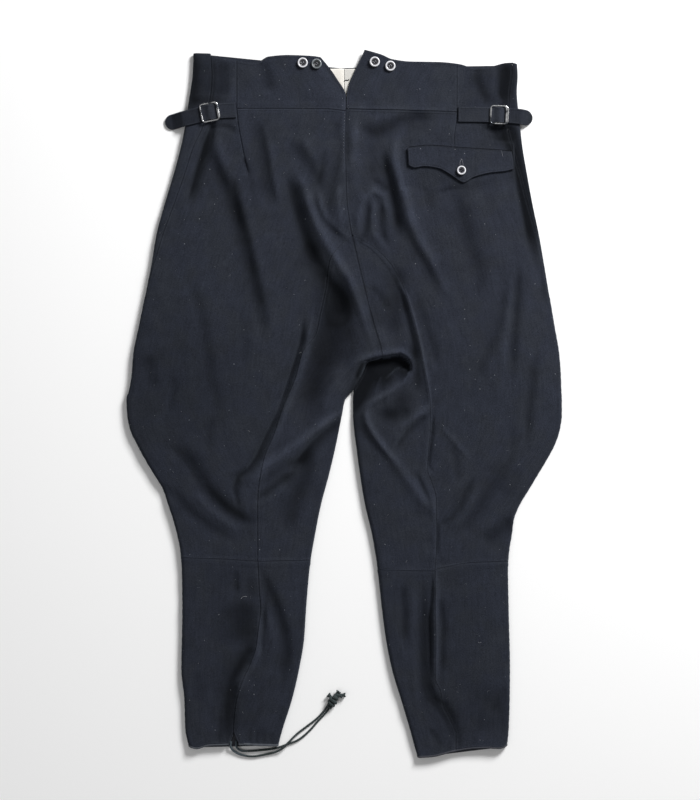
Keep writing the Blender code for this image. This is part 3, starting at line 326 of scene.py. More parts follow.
def braided_cord():
    """Strands wound both ways round each curve. They part over its last stretch."""
    tree, given, made = node_group(
        "braided_cord", "GeometryNodeTree",
        [("Geometry", "Geometry", None), ("Strands", "Int", 8), ("Radius", "Float", 0.00098),
         ("Pitch", "Float", 0.0075), ("Strand Radius", "Float", 0.00054),
         ("Frayed Length", "Float", 0.0001), ("Material", "Material", None)],
        [("Geometry", "Geometry")])
    line = node(tree, "GeometryNodeResampleCurve", {"Curve": given["Geometry"],
                                                     "Length": BRAID_STEP},
                mode="LENGTH").outputs[0]
    copies = node(tree, "GeometryNodeDuplicateElements",
                  {"Geometry": line, "Amount": given["Strands"]}, domain="SPLINE")
    count = copies.outputs["Duplicate Index"]
    half = times(tree, given["Strands"], 0.5)
    way = maths(tree, "SUBTRACT", 1.0, times(tree, maths(tree, "MODULO", count, 2.0), 2.0))
    first = maths(tree, "DIVIDE", maths(tree, "FLOOR", times(tree, count, 0.5)), half)
    run = node(tree, "GeometryNodeSplineParameter").outputs["Length"]
    turn = times(tree, maths(tree, "DIVIDE", run, given["Pitch"]), 2 * math.pi)
    angle = plus(tree, times(tree, way, turn), times(tree, first, 2 * math.pi))
    over = times(tree, way, maths(tree, "COSINE", times(tree, turn, half)))
    whole = node(tree, "GeometryNodeSplineLength").outputs["Length"]
    left = maths(tree, "DIVIDE", maths(tree, "SUBTRACT", whole, run), given["Frayed Length"])
    parted = maths(tree, "SUBTRACT", 1.0, maths(tree, "MINIMUM", left, 1.0))
    wide = plus(tree, 1.0, times(tree, parted, parted, FRAY_SPREAD))
    reach = times(tree, given["Radius"], wide, plus(tree, 1.0, times(tree, over, BRAID_WAVE)))
    normal = node(tree, "GeometryNodeInputNormal").outputs[0]
    tangent = node(tree, "GeometryNodeInputTangent").outputs[0]
    aside = vector(tree, "CROSS_PRODUCT", tangent, normal)
    parts = [vector(tree, "SCALE", direction, scale=times(tree, maths(tree, share, angle), reach))
             for direction, share in ((normal, "COSINE"), (aside, "SINE"))]
    moved = node(tree, "GeometryNodeSetPosition", {"Geometry": copies.outputs[0],
                                                   "Offset": vector(tree, "ADD", *parts)})
    ring = node(tree, "GeometryNodeCurvePrimitiveCircle", {"Resolution": 6,
                                                           "Radius": given["Strand Radius"]})
    tube = node(tree, "GeometryNodeCurveToMesh", {"Curve": moved.outputs[0],
                                                  "Profile Curve": ring.outputs[0], "Fill Caps": True})
    return end_growth(tree, soft(tree, tube.outputs[0]), given, made)


def cord_material():
    """Dark green-grey cotton, paler where the hem has rubbed it."""
    look, tree, shader = new_material("cord_cotton", 0.85, Specular_IOR_Level=0.25, Sheen_Weight=0.1)
    place = own_place(tree)
    mottle = noise(tree, place, 900.0, 3.0)
    ground = blend_colours(tree, mottle, (0.014, 0.020, 0.021, 1.0), (0.050, 0.066, 0.068, 1.0))
    x = node(tree, "ShaderNodeSeparateXYZ", {0: place}).outputs[0]
    by_hem = ranged(tree, x, -0.150, -0.132, 0.55, 0.0)
    tree.links.new(blend_colours(tree, by_hem, ground, (0.075, 0.100, 0.125, 1.0)),
                   shader.inputs["Base Color"])
    bump(tree, shader, mottle, 0.0001)
    return look


BRAID, CORD_LOOK = braided_cord(), cord_material()
print("braid:", len(BRAID.nodes), "nodes")

# %% Cords and knot
CORD_ROUTES = {
    "cord_a": [
        (-158.4, -473.0, 5.6), (-159.0, -480.0, 5.0), (-154.3, -486.9, 2.4), (-143.6, -492.4, 1.6),
        (-127.4, -494.5, 1.6), (-107.8, -491.4, 1.6), (-95.2, -487.9, 2.6), (-86.0, -482.4, 5.2),
        (-77.0, -473.6, 5.0), (-66.0, -463.0, 2.0), (-51.6, -452.0, 1.6), (-39.4, -442.6, 1.6),
        (-30.0, -433.2, 1.6), (-24.9, -426.4, 1.8), (-20.9, -420.7, 2.4),
    ],
    "cord_b": [
        (-151.2, -471.8, 5.6), (-150.8, -480.0, 5.0), (-146.0, -485.6, 2.2), (-136.5, -487.2, 1.6),
        (-118.6, -486.0, 1.6), (-102.0, -484.2, 1.6), (-90.0, -481.4, 1.6), (-78.6, -477.2, 1.6),
        (-66.0, -472.4, 1.6), (-55.0, -464.6, 1.6), (-45.2, -455.0, 1.6), (-36.6, -445.0, 1.6),
        (-27.0, -435.0, 1.6), (-22.2, -428.8, 1.8), (-18.3, -422.7, 2.4),
    ],
}
KNOT_AXIS = [(-20.6, -425.0, 3.4), (-17.8, -420.0, 5.0), (-15.0, -415.0, 6.0), (-13.4, -410.4, 5.6)]
KNOT_TURNS, KNOT_REACH = 3.3, (1.4, 4.9)     # turns of the cord round the axis, and how far out
KNOT_TAILS = [
    [(-17.0, -417.5, 4.4), (-17.6, -412.6, 5.2), (-19.8, -409.6, 4.2), (-22.0, -407.6, 3.9)],
    [(-16.0, -415.5, 4.6), (-12.6, -410.2, 5.2), (-9.4, -406.0, 4.2), (-7.4, -403.0, 3.9)],
    [(-16.5, -414.5, 4.2), (-11.6, -410.6, 4.6), (-5.0, -408.8, 4.2), (1.6, -408.0, 3.9)],
    [(-15.0, -412.5, 4.8), (-12.0, -409.0, 5.0), (-6.6, -408.0, 4.2), (-2.6, -409.4, 3.9)],
    [(-20.4, -423.4, 3.6), (-18.6, -418.0, 4.0), (-17.2, -412.6, 4.0)],
    [(-18.6, -422.4, 3.6), (-14.8, -417.4, 4.0), (-12.0, -412.4, 4.0)],
]
KNOT_BRAID = {"Frayed Length": 0.0035, "Radius": 0.0016, "Strand Radius": 0.00085}


def knot_wrap():
    """The turns that the cord takes round itself."""
    axis = rounded_route(KNOT_AXIS, 0.4)
    ways = directions(axis)
    aside = np.cross(ways, [0, 0, 1.0])
    up = np.cross(aside, ways)
    share = np.linspace(0, 1, len(axis))
    turn = 2 * math.pi * KNOT_TURNS * share
    reach = KNOT_REACH[0] + (KNOT_REACH[1] - KNOT_REACH[0]) * np.sin(np.minimum(share * 1.25, 1) * 2.2)
    return axis + reach[:, None] * (aside * np.cos(turn)[:, None] + 0.7 * up * np.sin(turn)[:, None])


CORDS = {}
for name, route in CORD_ROUTES.items():
    course = rounded_route(route, 1.0)
    CORDS[name] = grown(name, route_object("route", [course]), BRAID, {"Material": CORD_LOOK})
    print(name, "is", round(course_length(course)), "mm long,", len(CORDS[name].data.polygons), "faces")
knot_routes = [knot_wrap()] + [rounded_route(tail, 0.5) for tail in KNOT_TAILS]
CORDS["knot"] = grown("cord_knot", route_object("route", knot_routes), BRAID,
                      {"Material": CORD_LOOK} | KNOT_BRAID)
print("knot:", len(CORDS["knot"].data.polygons), "faces")

# %% [markdown]
# ## The pattern
#
# A pattern cutter keeps a few measured lines: the outline, the seams and the hems. Each
# line below is a short table of points in millimetres, and a smooth curve is drawn through
# them. The origin is under the middle of the garment: +X to the wearer's right, +Y to the
# waist, +Z up.

# %% Pattern tables
# Cloth
WOOL = 2.0                 # thickness of the wool cloth
SEAM_GAP = 0.1             # sewn pieces touch; a hair's breadth keeps the meshes apart
REST_GAP = 0.25            # between a piece and the cloth that it lies on
ROLL = 5.0                 # how far in a folded side edge is rolled
ROLL_MIDDLE = 3.2          # height of the outermost line of a folded side edge
EDGE_TOP = 9.0             # height of the upper layer just inside a folded edge
EDGE_REACH = 42.0          # how far in the upper layer goes on rising
LOWEST_TOP = 5.8           # the upper layer never lies lower than this

# Lengths down the garment (y)
WAIST_TOP = 479.0
WAIST_SEAM = 412.0
WRAP_END = 150.0           # the side seam reaches the folded edge here
INNER_LEG_TOP = 234.0
CROTCH = 19.6              # where the gap between the legs begins
KNEE_LEFT = -218.0
KNEE_RIGHT = -226.0
HEM_LEFT = -479.0
HEM_RIGHT = -485.0
BINDING = 2.2              # height of the hem binding

# Folded side edges: y, left edge x, right edge x
SIDES = [
    (479, -211.4, 242.6), (459, -212.6, 243.6), (438, -215.6, 242.4), (420, -218.4, 243.6),
    (396, -221.9, 246.4), (363, -228.2, 249.9), (321, -239.4, 256.9), (279, -252.0, 264.6),
    (237, -263.2, 273.4), (195, -270.2, 280.7), (153, -278.6, 287.7), (111, -287.0, 294.7),
    (69, -295.4, 301.7), (41, -297.5, 303.8), (20, -301.0, 304.5), (6, -304.8, 305.2),
    (-15, -303.8, 305.2), (-36, -299.6, 302.4), (-57, -289.8, 295.4), (-78, -278.6, 284.2),
    (-99, -266.0, 271.6), (-120, -253.4, 259.0), (-141, -246.4, 246.4), (-162, -239.4, 238.0),
    (-183, -233.8, 235.2), (-204, -229.6, 231.7), (-225, -227.8, 230.0), (-288, -226.8, 231.0),
    (-372, -228.2, 232.8), (-414, -224.0, 232.4), (-456, -222.6, 231.0), (-482, -217.0, 228.2),
    (-496, -212.8, 225.4),
]
# Inner edges of the legs: y, right edge of the left leg, left edge of the right leg
INSEAMS = [
    (19.6, 13.9, 13.9), (6, 1.4, 12.6), (-15, -2.8, 12.6), (-36, -7.0, 14.0),
    (-57, -11.2, 16.8), (-99, -21.0, 22.4), (-141, -32.2, 29.4), (-183, -40.6, 39.2),
    (-225, -47.6, 46.2), (-288, -53.2, 53.2), (-330, -56.0, 58.8), (-372, -63.0, 67.2),
    (-414, -72.8, 79.8), (-456, -86.1, 92.4), (-482, -93.1, 99.4), (-496, -96.6, 103.6),
]
# How high the upper layer lies in the middle of the seat or leg: y, height
LOFT = [
    (490, 8.8), (440, 9.8), (405, 11.0), (350, 13.0), (200, 16.0), (80, 19.0), (0, 16.5),
    (-100, 14.0), (-220, 12.5), (-340, 12.0), (-440, 10.0), (-485, 9.0),
]
# Seams that run down the garment: y, x
CENTRE_BACK = [
    (434, 3.8), (415, 2.9), (354, 2.3), (290, 3.8), (251, 8.4), (213, 16.8), (174, 25.9),
    (132, 36.4), (102, 44.8), (76, 52.5), (63, 53.9), (60.5, 37.0), (54.6, 31.5),
    (42, 26.6), (28, 18.9), (19.6, 13.9),
]
NOTCH_LEFT = [(486, -33.0), (477, -25.2), (459, -12.0), (430, 3.0), (408, 2.6)]
NOTCH_RIGHT = [(497, 28.9), (430, 3.5), (408, 3.1)]
DART_LEFT = [
    (486, -149.8), (413, -149.8), (356, -141.4), (322, -134.4), (216, -128.8), (104, -131.6),
    (6, -148.0), (-64, -159.6), (-134, -166.6), (-218, -170.0),
]
DART_RIGHT = [
    (486, 158.2), (412, 158.2), (364, 153.3), (286, 155.4), (146, 176.4), (6, 190.4),
    (-64, 187.6), (-134, 178.4), (-227, 176.0),
]
THIGH_SEAM_LEFT = [
    (234, 11.2), (221, -5.6), (200, -19.6), (162, -25.2), (126, -32.9), (98, -39.2),
    (73, -57.4), (38, -67.2), (-3, -84.0), (-41, -97.2), (-78, -112.0), (-134, -120.4),
    (-220, -120.2),
]
THIGH_SEAM_RIGHT = [
    (234, 13.1), (221, 39.2), (207, 55.4), (182, 74.2), (151, 87.5), (123, 96.2), (85, 105.0),
    (53, 111.2), (22, 117.6), (-3, 120.4), (-31, 120.4), (-67, 117.6), (-91, 116.5),
    (-111, 123.2), (-132, 128.8), (-188, 129.5), (-231, 127.4),
]
CALF_SEAM_LEFT = [
    (-218, -120.2), (-260, -118.3), (-284, -116.2), (-308, -119.0), (-339, -122.6),
    (-365, -131.6), (-393, -144.2), (-421, -151.2), (-459, -154.4), (-482, -154.4),
]
CALF_SEAM_RIGHT = [
    (-231, 127.4), (-294, 127.4), (-330, 128.2), (-386, 127.9), (-400, 134.4), (-421, 138.6),
    (-444, 149.8), (-462, 156.8), (-490, 156.8),
]
FRONT_CENTRE = [(492, 0.0), (300, 1.0), (100, 8.0), (19.6, 13.9)]
# How far the fronts wrap over the folded edge on to the back: y, left, right
WRAP = [
    (486, 25.0, 6.3), (426, 30.0, 11.2), (389, 26.0, 18.0), (356, 18.0, 14.0),
    (293, 15.0, 8.0), (237, 10.0, 4.0), (195, 4.0, 2.0), (150, 0.7, 0.7),
]
# Seams and edges that run across the garment: x, y
BACK_TOP_LEFT = [
    (-187, 486.4), (-158, 483.0), (-133, 477.8), (-122, 478.4), (-106, 486.4), (-78, 488.6),
    (-43, 487.2), (-33, 485.8),
]
BACK_TOP_RIGHT = [
    (29, 496.3), (53, 489.0), (67, 483.0), (92, 479.5), (132, 478.8), (161, 476.0),
    (183, 470.4), (203, 471.8), (227, 477.4), (242, 478.1),
]
FRONT_TOP = [
    (-216, 491.4), (-188, 490.6), (-184, 487.0), (-146, 480.0), (-76, 473.2), (-17, 470.8),
    (18, 471.8), (78, 470.4), (176, 466.2), (218, 470.4), (245, 476.7),
]
WAIST_LEFT = [(-150, 413.7), (-27, 413.0), (2, 410.2)]
WAIST_RIGHT = [(3, 413.0), (154, 408.8), (158, 408.5)]
KNEE_LINE_LEFT = [(-228, -214.9), (-164, -217.0), (-115, -219.8), (-48, -218.4)]
KNEE_LINE_RIGHT = [(46, -232.4), (124, -233.4), (134, -229.6), (178, -221.9), (230, -219.8)]
HEM_LINE_LEFT = [
    (-223, -476.6), (-217, -480.2), (-206, -483.0), (-190, -478.8), (-147, -477.4),
    (-120, -478.8), (-92, -479.5),
]
HEM_LINE_RIGHT = [
    (102, -495.6), (123, -494.2), (155, -486.6), (182, -482.6), (200, -481.8),
    (218, -482.8), (229, -478.8),
]
HEM_SLIT = [(-459, 0.0), (-467, 3.2), (-478, 7.4), (-483, 7.8)]     # y, half width of the slit

# The seat hangs over the right thigh along this line, from the crotch gap round the hollow
OVERHANG = [
    (13.9, 19.6), (18.9, 28.0), (26.6, 42.0), (31.5, 54.6), (37.0, 60.5), (53.9, 63.0),
    (65.8, 65.1), (78.4, 67.9), (86.6, 63.4), (91.2, 56.0), (91.8, 47.6), (87.4, 38.2),
]
OVERHANG_DROP = 11.0       # from the lip into the hollow
OVERHANG_LIP = 4.2         # width of the rolled lip
OVERHANG_HOLLOW = 24.0     # width of the hollow under it
OVERHANG_FADE = 0.85       # share of the line at which the drop starts to fade

print("pattern tables:", len(SIDES), "rows in the outline")

# %% Smooth lines
def smooth_line(rows, column=1):
    """A curve through the rows' (key, value) pairs that never swings past them."""
    pairs = sorted((row[0], row[column]) for row in rows)
    keys = np.array([pair[0] for pair in pairs], float)
    values = np.array([pair[1] for pair in pairs], float)
    step = np.diff(keys)
    rise = np.diff(values) / step
    slope = np.concatenate([[rise[0]], np.zeros(len(rise) - 1), [rise[-1]]])
    product = rise[:-1] * rise[1:]
    total = np.where(product > 0, rise[:-1] + rise[1:], 1.0)
    slope[1:-1] = np.where(product > 0, 2 * product / total, 0.0)

    def line(key):
        key = np.clip(key, keys[0], keys[-1])
        i = np.clip(np.searchsorted(keys, key) - 1, 0, len(step) - 1)
        t = (key - keys[i]) / step[i]
        return (values[i] * (1 + 2 * t) * (1 - t) ** 2 + values[i + 1] * t * t * (3 - 2 * t)
                + step[i] * (slope[i] * t * (1 - t) ** 2 - slope[i + 1] * t * t * (1 - t)))
    return line


def ease(t):
    """Rise smoothly from 0 to 1 as t does."""
    t = np.clip(t, 0.0, 1.0)
    return t * t * (3 - 2 * t)


left_side, right_side = smooth_line(SIDES, 1), smooth_line(SIDES, 2)
left_inseam, right_inseam = smooth_line(INSEAMS, 1), smooth_line(INSEAMS, 2)
loft_height = smooth_line(LOFT)
centre_back, front_centre = smooth_line(CENTRE_BACK), smooth_line(FRONT_CENTRE)
print("widest:", round(float(right_side(np.array(0.0)) - left_side(np.array(0.0)))), "mm")

# %% [markdown]
# ## How the cloth lies
#
# The upper layer is low beside its folded edges and fuller in the middle, because a thigh
# cut for riding has more cloth than a flat table can take. The spare cloth goes into folds.
# Each fold is a soft ridge or hollow along a route. The solids have the largest ones, and
# here they are deeper and have smaller ones between them. A fold may lean, so that one of
# its sides is steep and the other gentle.

# %% Folds of the rise and the left seat
# Each row: name, (height, half width and lean), the route's x, y, x, y and so on
FOLDS = [
    # the rise
    ("left side", (-3, 12), -171, 478, -173, 452, -175, 426),
    ("left curve", (-2.6, 9), -118, 479, -111, 458, -106, 436),
    ("right side", (-5, 9), 232, 474, 228, 450, 221, 424),
    ("right middle", (-1.8, 8), 184, 472, 188, 448, 194, 424),
    ("right ridge", (1.3, 6), 207, 470, 207, 450, 206, 428),
    # the left hip and seat
    ("hip edge", (-8, 5, 0.3), -182, 398, -190, 374, -198, 350, -206, 324, -218, 280),
    ("hip strap", (-2.6, 6), -190, 392, -176, 393, -163, 388, -151, 377),
    ("hip hollow", (-6.5, 11, 0.2), -195, 362, -180, 328, -163, 296, -149, 256, -138, 212, -128, 172,
        -120, 140, -116, 104),
    ("hip fork", (-2.5, 6), -157, 318, -153, 290, -147, 262, -143, 240),
    ("hip ridge", (3, 9), -180, 374, -168, 330, -150, 290, -134, 246, -122, 198, -112, 150,
        -103, 116),
    ("dart hollow", (-3.8, 11), -126, 398, -119, 372, -113, 342, -109, 312, -103, 280),
    ("dart ridge", (2.2, 6), -112, 388, -104, 350, -99, 318, -90, 280),
    ("dart crease", (-1.8, 3), -141, 344, -138, 334, -133, 320),
    ("dart low", (-1, 5), -132, 318, -130, 296, -126, 266),
    ("seat high", (-2.6, 9), -80, 366, -64, 350, -53, 332, -40, 316, -37, 288),
    ("seat high ridge", (1.2, 6), -58, 374, -48, 352, -40, 338),
    ("seat vee", (-1.8, 5), -27, 356, -31, 340, -34, 322, -38, 304),
    ("seat hollow", (-7, 8.5, 0.2), -80, 314, -72, 292, -66, 268, -59, 244, -50, 218, -38, 194),
    ("seat hollow low", (-5, 15), -56, 226, -44, 200, -30, 176, -12, 146, 2, 112),
    ("seat ridge", (4, 7), -68, 324, -56, 304, -50, 280, -40, 254, -27, 228, -10, 200, 6, 174,
        18, 146, 28, 116, 36, 90),
    ("seat crease", (-1.8, 5), -47, 298, -40, 274, -30, 254, -16, 240, 4, 222),
    ("seat ridge upper", (2.6, 5), -38, 302, -32, 276, -22, 256, -6, 240, 8, 228),
    ("seat centre", (-3, 6), -5, 360, -12, 332, -19, 300, -25, 274, -22, 256, -10, 240, 8, 226),
    ("seat centre ridge", (2, 5), -8, 306, -8, 276, -4, 246),
    ("seat centre high", (-1.4, 6), -11, 394, -13, 380, -14, 366),
]
print("folds:", len(FOLDS))

# %% Folds of the right seat
FOLDS += [
    # the right seat and hip
    ("centre band", (2, 8), 16, 396, 13, 350, 12, 306),
    ("centre shade", (-1.4, 8), 36, 366, 36, 336, 34, 312),
    ("seat waist", (-4.5, 9), 20, 385, 42, 377, 60, 383, 78, 393, 100, 399, 124, 398),
    ("seat waist roll", (1.2, 6), 34, 396, 62, 400, 88, 408),
    ("seat hollow", (-6.5, 7.5), 54, 352, 58, 330, 64, 308, 69, 284, 73, 260, 76, 236),
    ("seat hollow low", (-3.2, 11), 74, 262, 86, 236, 100, 212, 114, 188, 130, 154),
    ("seat ridge", (4, 8), 82, 394, 70, 366, 70, 336, 78, 308, 86, 280, 93, 252, 104, 226, 120, 200,
        136, 166),
    ("seat arch", (2.8, 5), 20, 236, 19, 262, 26, 284, 40, 297, 54, 290, 61, 270, 64, 244),
    ("seat arch left", (-3.4, 4.5), 33, 284, 31, 262, 29, 242, 21, 220),
    ("seat arch", (-2.8, 4.5), 51, 280, 50, 256, 53, 238, 60, 220),
    ("seat arch middle", (2, 4), 42, 287, 39, 262, 40, 240, 50, 220),
    ("seat arch top", (-2, 5), 39, 313, 50, 306, 61, 297),
    ("seat lower", (-1.8, 6), 36, 162, 48, 152, 62, 130),
    ("seat wedge", (-4, 11), 68, 194, 72, 170, 70, 148, 66, 118, 64, 94),
    ("flap point", (-2.4, 4), 131, 293, 144, 300, 160, 304, 174, 306),
    ("pocket fall inner", (-3, 11), 150, 296, 163, 262, 172, 226, 184, 192, 188, 150),
    ("pocket fall left", (-1.5, 7), 106, 320, 114, 296, 119, 268),
    ("hip hollow", (-9, 8, 0.2), 226, 398, 233, 366, 241, 336, 247, 308, 253, 276, 259, 244,
        264, 206),
    ("hip buckle", (-6.5, 13), 207, 410, 214, 390, 224, 360),
]
print("folds:", len(FOLDS))

# %% Folds of the left leg
FOLDS += [
    # the left thigh
    ("long", (-2.1, 7), -217, 170, -205, 140, -199, 112, -192, 76, -188, 40, -179, 4,
        -171, -28),
    ("long low", (-1.4, 6), -184, -18, -191, -44, -189, -68),
    ("spot", (-2, 8), -277, 68, -271, 44, -265, 20),
    ("streak", (-1.7, 4), -237, 38, -239, 12, -243, -10),
    ("middle", (-1.2, 8), -144, 130, -141, 90, -138, 46),
    ("lap", (-5.2, 3.8, 0.2), -57, 114, -61, 84, -71, 52, -82, 18, -92, -10),
    ("lap low", (-6, 5.4, 0.2), -88, 0, -98, -24, -104, -36, -114, -56, -123, -76, -134, -92,
        -149, -103, -154, -119, -150, -138),
    ("seam", (3.6, 5), -45, 126, -51, 88, -61, 52, -72, 20, -83, -8, -94, -34, -105, -60,
        -114, -82),
    ("shade", (-6.5, 17), -6, 170, -14, 130, -24, 90, -36, 50, -46, 14, -52, -22),
    ("shade top", (-3, 9), -36, 200, -22, 168, -6, 142, 0, 108),
    ("bright", (2.2, 9), 0, 56, -16, 24, -34, -10),
    # the left knee
    ("draw", (5.5, 6), -2, -10, -18, -22, -38, -37, -61, -55, -86, -73, -110, -88, -126, -106,
        -139, -126),
    ("draw under", (-6.5, 6, 0.2), -3, -17, -14, -29, -31, -43, -46, -58, -60, -76, -74, -88),
    ("draw valley", (-2.2, 5), -66, -76, -88, -92, -106, -104, -118, -116),
    ("nook low", (-4.2, 5), -72, -97, -90, -112, -106, -124, -124, -136),
    ("nook ridge", (2.2, 5), -82, -112, -98, -130, -112, -142),
    ("inner", (-4.5, 10), -50, -60, -55, -84, -58, -104, -66, -127, -76, -153, -85, -180),
    ("sweep", (-4.4, 10, 0.2), -244, -60, -228, -73, -214, -89, -201, -111, -184, -134,
        -164, -152, -142, -165, -120, -164),
    ("sweep ridge", (1.8, 6), -210, -124, -192, -144, -170, -162, -148, -178),
    ("outer", (-2.6, 8), -256, -114, -237, -129, -216, -153, -191, -172, -160, -190),
]
print("folds:", len(FOLDS))

# %% Folds of the crotch and the right leg
FOLDS += [
    # the crotch and the right thigh
    ("crotch rim", (3.6, 4.6), 4, 22, 12, 42, 19, 56, 31, 64.5, 46, 68, 60, 69.5, 72, 71.5, 81, 70.5,
        89, 65.5, 95, 57, 96, 47, 92, 38),
    ("crotch roll", (4.2, 4.6), 92, 44, 91, 38, 83, 30, 70, 20, 56, 11, 42, 3, 33, -4, 29.5, -13,
        32, -26, 40, -41, 54, -60, 68, -77),
    ("crotch roll low", (2.4, 6.5), 52, -58, 70, -80, 86, -102, 104, -128, 122, -152),
    ("thigh edge", (-1.2, 7.5), 21, 26, 19, 8, 19, -10, 22, -30, 30, -48, 40, -62),
    ("knee draw", (-0.8, 8.5), 22, -22, 28, -40, 42, -61, 55, -82, 68, -103, 78, -121, 89, -140,
        103, -156, 126, -161),
    ("thigh hollow", (-2.8, 9), 44, -14, 60, -18, 76, -18, 92, -10),
    ("thigh branch", (3.4, 4.5), 120, -2, 108, -12, 97, -20, 83, -33, 73, -48, 67, -60),
    ("thigh branch under", (-3.6, 4), 117, -16, 102, -28, 87, -41, 76, -55, 70, -68),
    ("thigh shade", (-3.2, 5.5), 80, 156, 86, 126, 92, 100, 98, 76, 103, 54),
    ("thigh seam", (2.2, 2.8), 78, 168, 88, 148, 96, 122, 103, 96, 109, 70, 114, 42, 118, 18,
        120, -4),
    ("thigh beside", (-2, 7), 99, 152, 106, 126, 114, 102, 124, 74, 130, 50),
    ("thigh line", (-2.4, 3), 124, -14, 123, -34, 120, -58, 117, -86, 124, -94),
    ("thigh step", (1.7, 4), 106, -94, 114, -112, 122, -132, 126, -154),
    ("thigh step side", (-1.2, 3.5), 99, -96, 107, -114, 117, -134),
    ("thigh outer", (-3.4, 6), 243, 194, 241, 160, 238, 120, 235, 80, 234, 36),
    ("thigh drape", (-2.4, 7), 226, 172, 218, 128, 208, 92, 194, 56, 178, 26),
    ("thigh drape ridge", (2, 6), 232, 170, 229, 130, 224, 90, 218, 50),
    ("thigh edge high", (-1.8, 6), 274, 196, 278, 166, 281, 136),
    ("thigh edge low", (-3, 6), 266, 66, 260, 20, 256, -20, 255, -62),
    ("thigh line low", (-1.3, 5), 234, -34, 234, -60, 232, -88),
    ("thigh tuck", (1.4, 4), 136, -32, 148, -46, 162, -62, 174, -76),
    ("thigh tuck fall", (-1.3, 6), 150, -62, 156, -86, 157, -108),
    # the right knee
    ("fan inner", (-3.6, 5), 132, -174, 149, -161, 160, -145, 168, -127, 180, -106),
    ("fan ridge", (2, 5), 148, -176, 164, -160, 178, -138, 188, -118),
    ("fan outer", (-3.2, 9), 152, -184, 176, -158, 195, -134, 210, -111, 228, -80),
    ("fan edge", (-1.7, 8), 220, -132, 232, -114, 246, -94),
    ("side", (-4, 9), 194, -196, 214, -181, 238, -164),
    ("seam", (-2, 3), 130, -166, 130, -186, 129, -212),
]
print("folds:", len(FOLDS))

# %% Folds of the calves and the hem
FOLDS += [
    # the left calf
    ("dent", (-4.6, 17), -142, -276, -144, -296, -144, -316, -140, -338),
    ("neck", (-1.4, 6), -135, -242, -133, -256, -132, -270),
    ("hollow", (-6.2, 8.5), -134, -330, -136, -348, -146, -368, -155, -384, -160, -404,
        -162, -430, -162, -452, -164, -476),
    ("ridge", (3.8, 5), -120, -296, -119, -318, -120, -334, -123, -350, -129, -365, -138, -378,
        -146, -392, -150, -410),
    ("seam", (-2.6, 3), -110, -258, -110, -280, -112, -300, -115, -326, -115, -352),
    ("inner", (-4.2, 7.5), -116, -236, -108, -255, -100, -275, -91, -300, -85, -322, -82, -348,
        -84, -370, -88, -395),
    ("inner ridge", (1.8, 6), -114, -262, -109, -286, -103, -312, -98, -340),
    ("top", (-2.6, 3.5), -152, -232, -152, -248, -150, -266),
    ("outer", (-1.1, 6), -207, -374, -206, -398, -205, -420),
    ("outer low", (-1.8, 4), -175, -434, -174, -456, -176, -476),
    # the right calf
    ("hollow", (-5, 9), 110, -258, 110, -300, 110, -350, 112, -394, 120, -412, 136, -426,
        148, -444, 154, -462, 158, -483),
    ("pleat side", (-3.2, 2.8), 123, -240, 123, -262, 120, -300, 121, -346, 121, -378),
    ("pleat", (3.2, 4.5), 128, -236, 129, -268, 128, -300, 129, -346, 128, -392),
    ("pleat back", (-3, 5), 131, -266, 136, -296, 138, -316, 136, -334, 135, -356, 135, -386),
    ("inner", (-3.2, 6), 81, -254, 83, -292, 83, -336),
    ("inner ridge", (1.6, 7), 96, -258, 96, -320, 98, -380, 101, -420),
    ("low", (-1.7, 5), 118, -456, 127, -468, 138, -483),
    ("outer", (-1.6, 5), 224, -396, 216, -414, 208, -434),
    ("corner", (-2, 26), 192, -392, 202, -430, 206, -470),
    # gathers at the left hem
    ("gather a", (-1.2, 3), -132, -452, -133, -466, -132, -477),
    ("gather b", (-1, 2.6), -122, -456, -123, -468, -122, -478),
    ("gather c", (-1, 3), -113, -456, -115, -468, -114, -478),
    ("gather d", (-0.9, 3), -101, -460, -103, -470, -102, -479),
    # the back lies flat on the facing beside the notch
    ("notch", (-3.6, 13), -36, 492, -11, 459, 3.6, 434, 16, 464, 31, 502),
]
print("folds:", len(FOLDS))

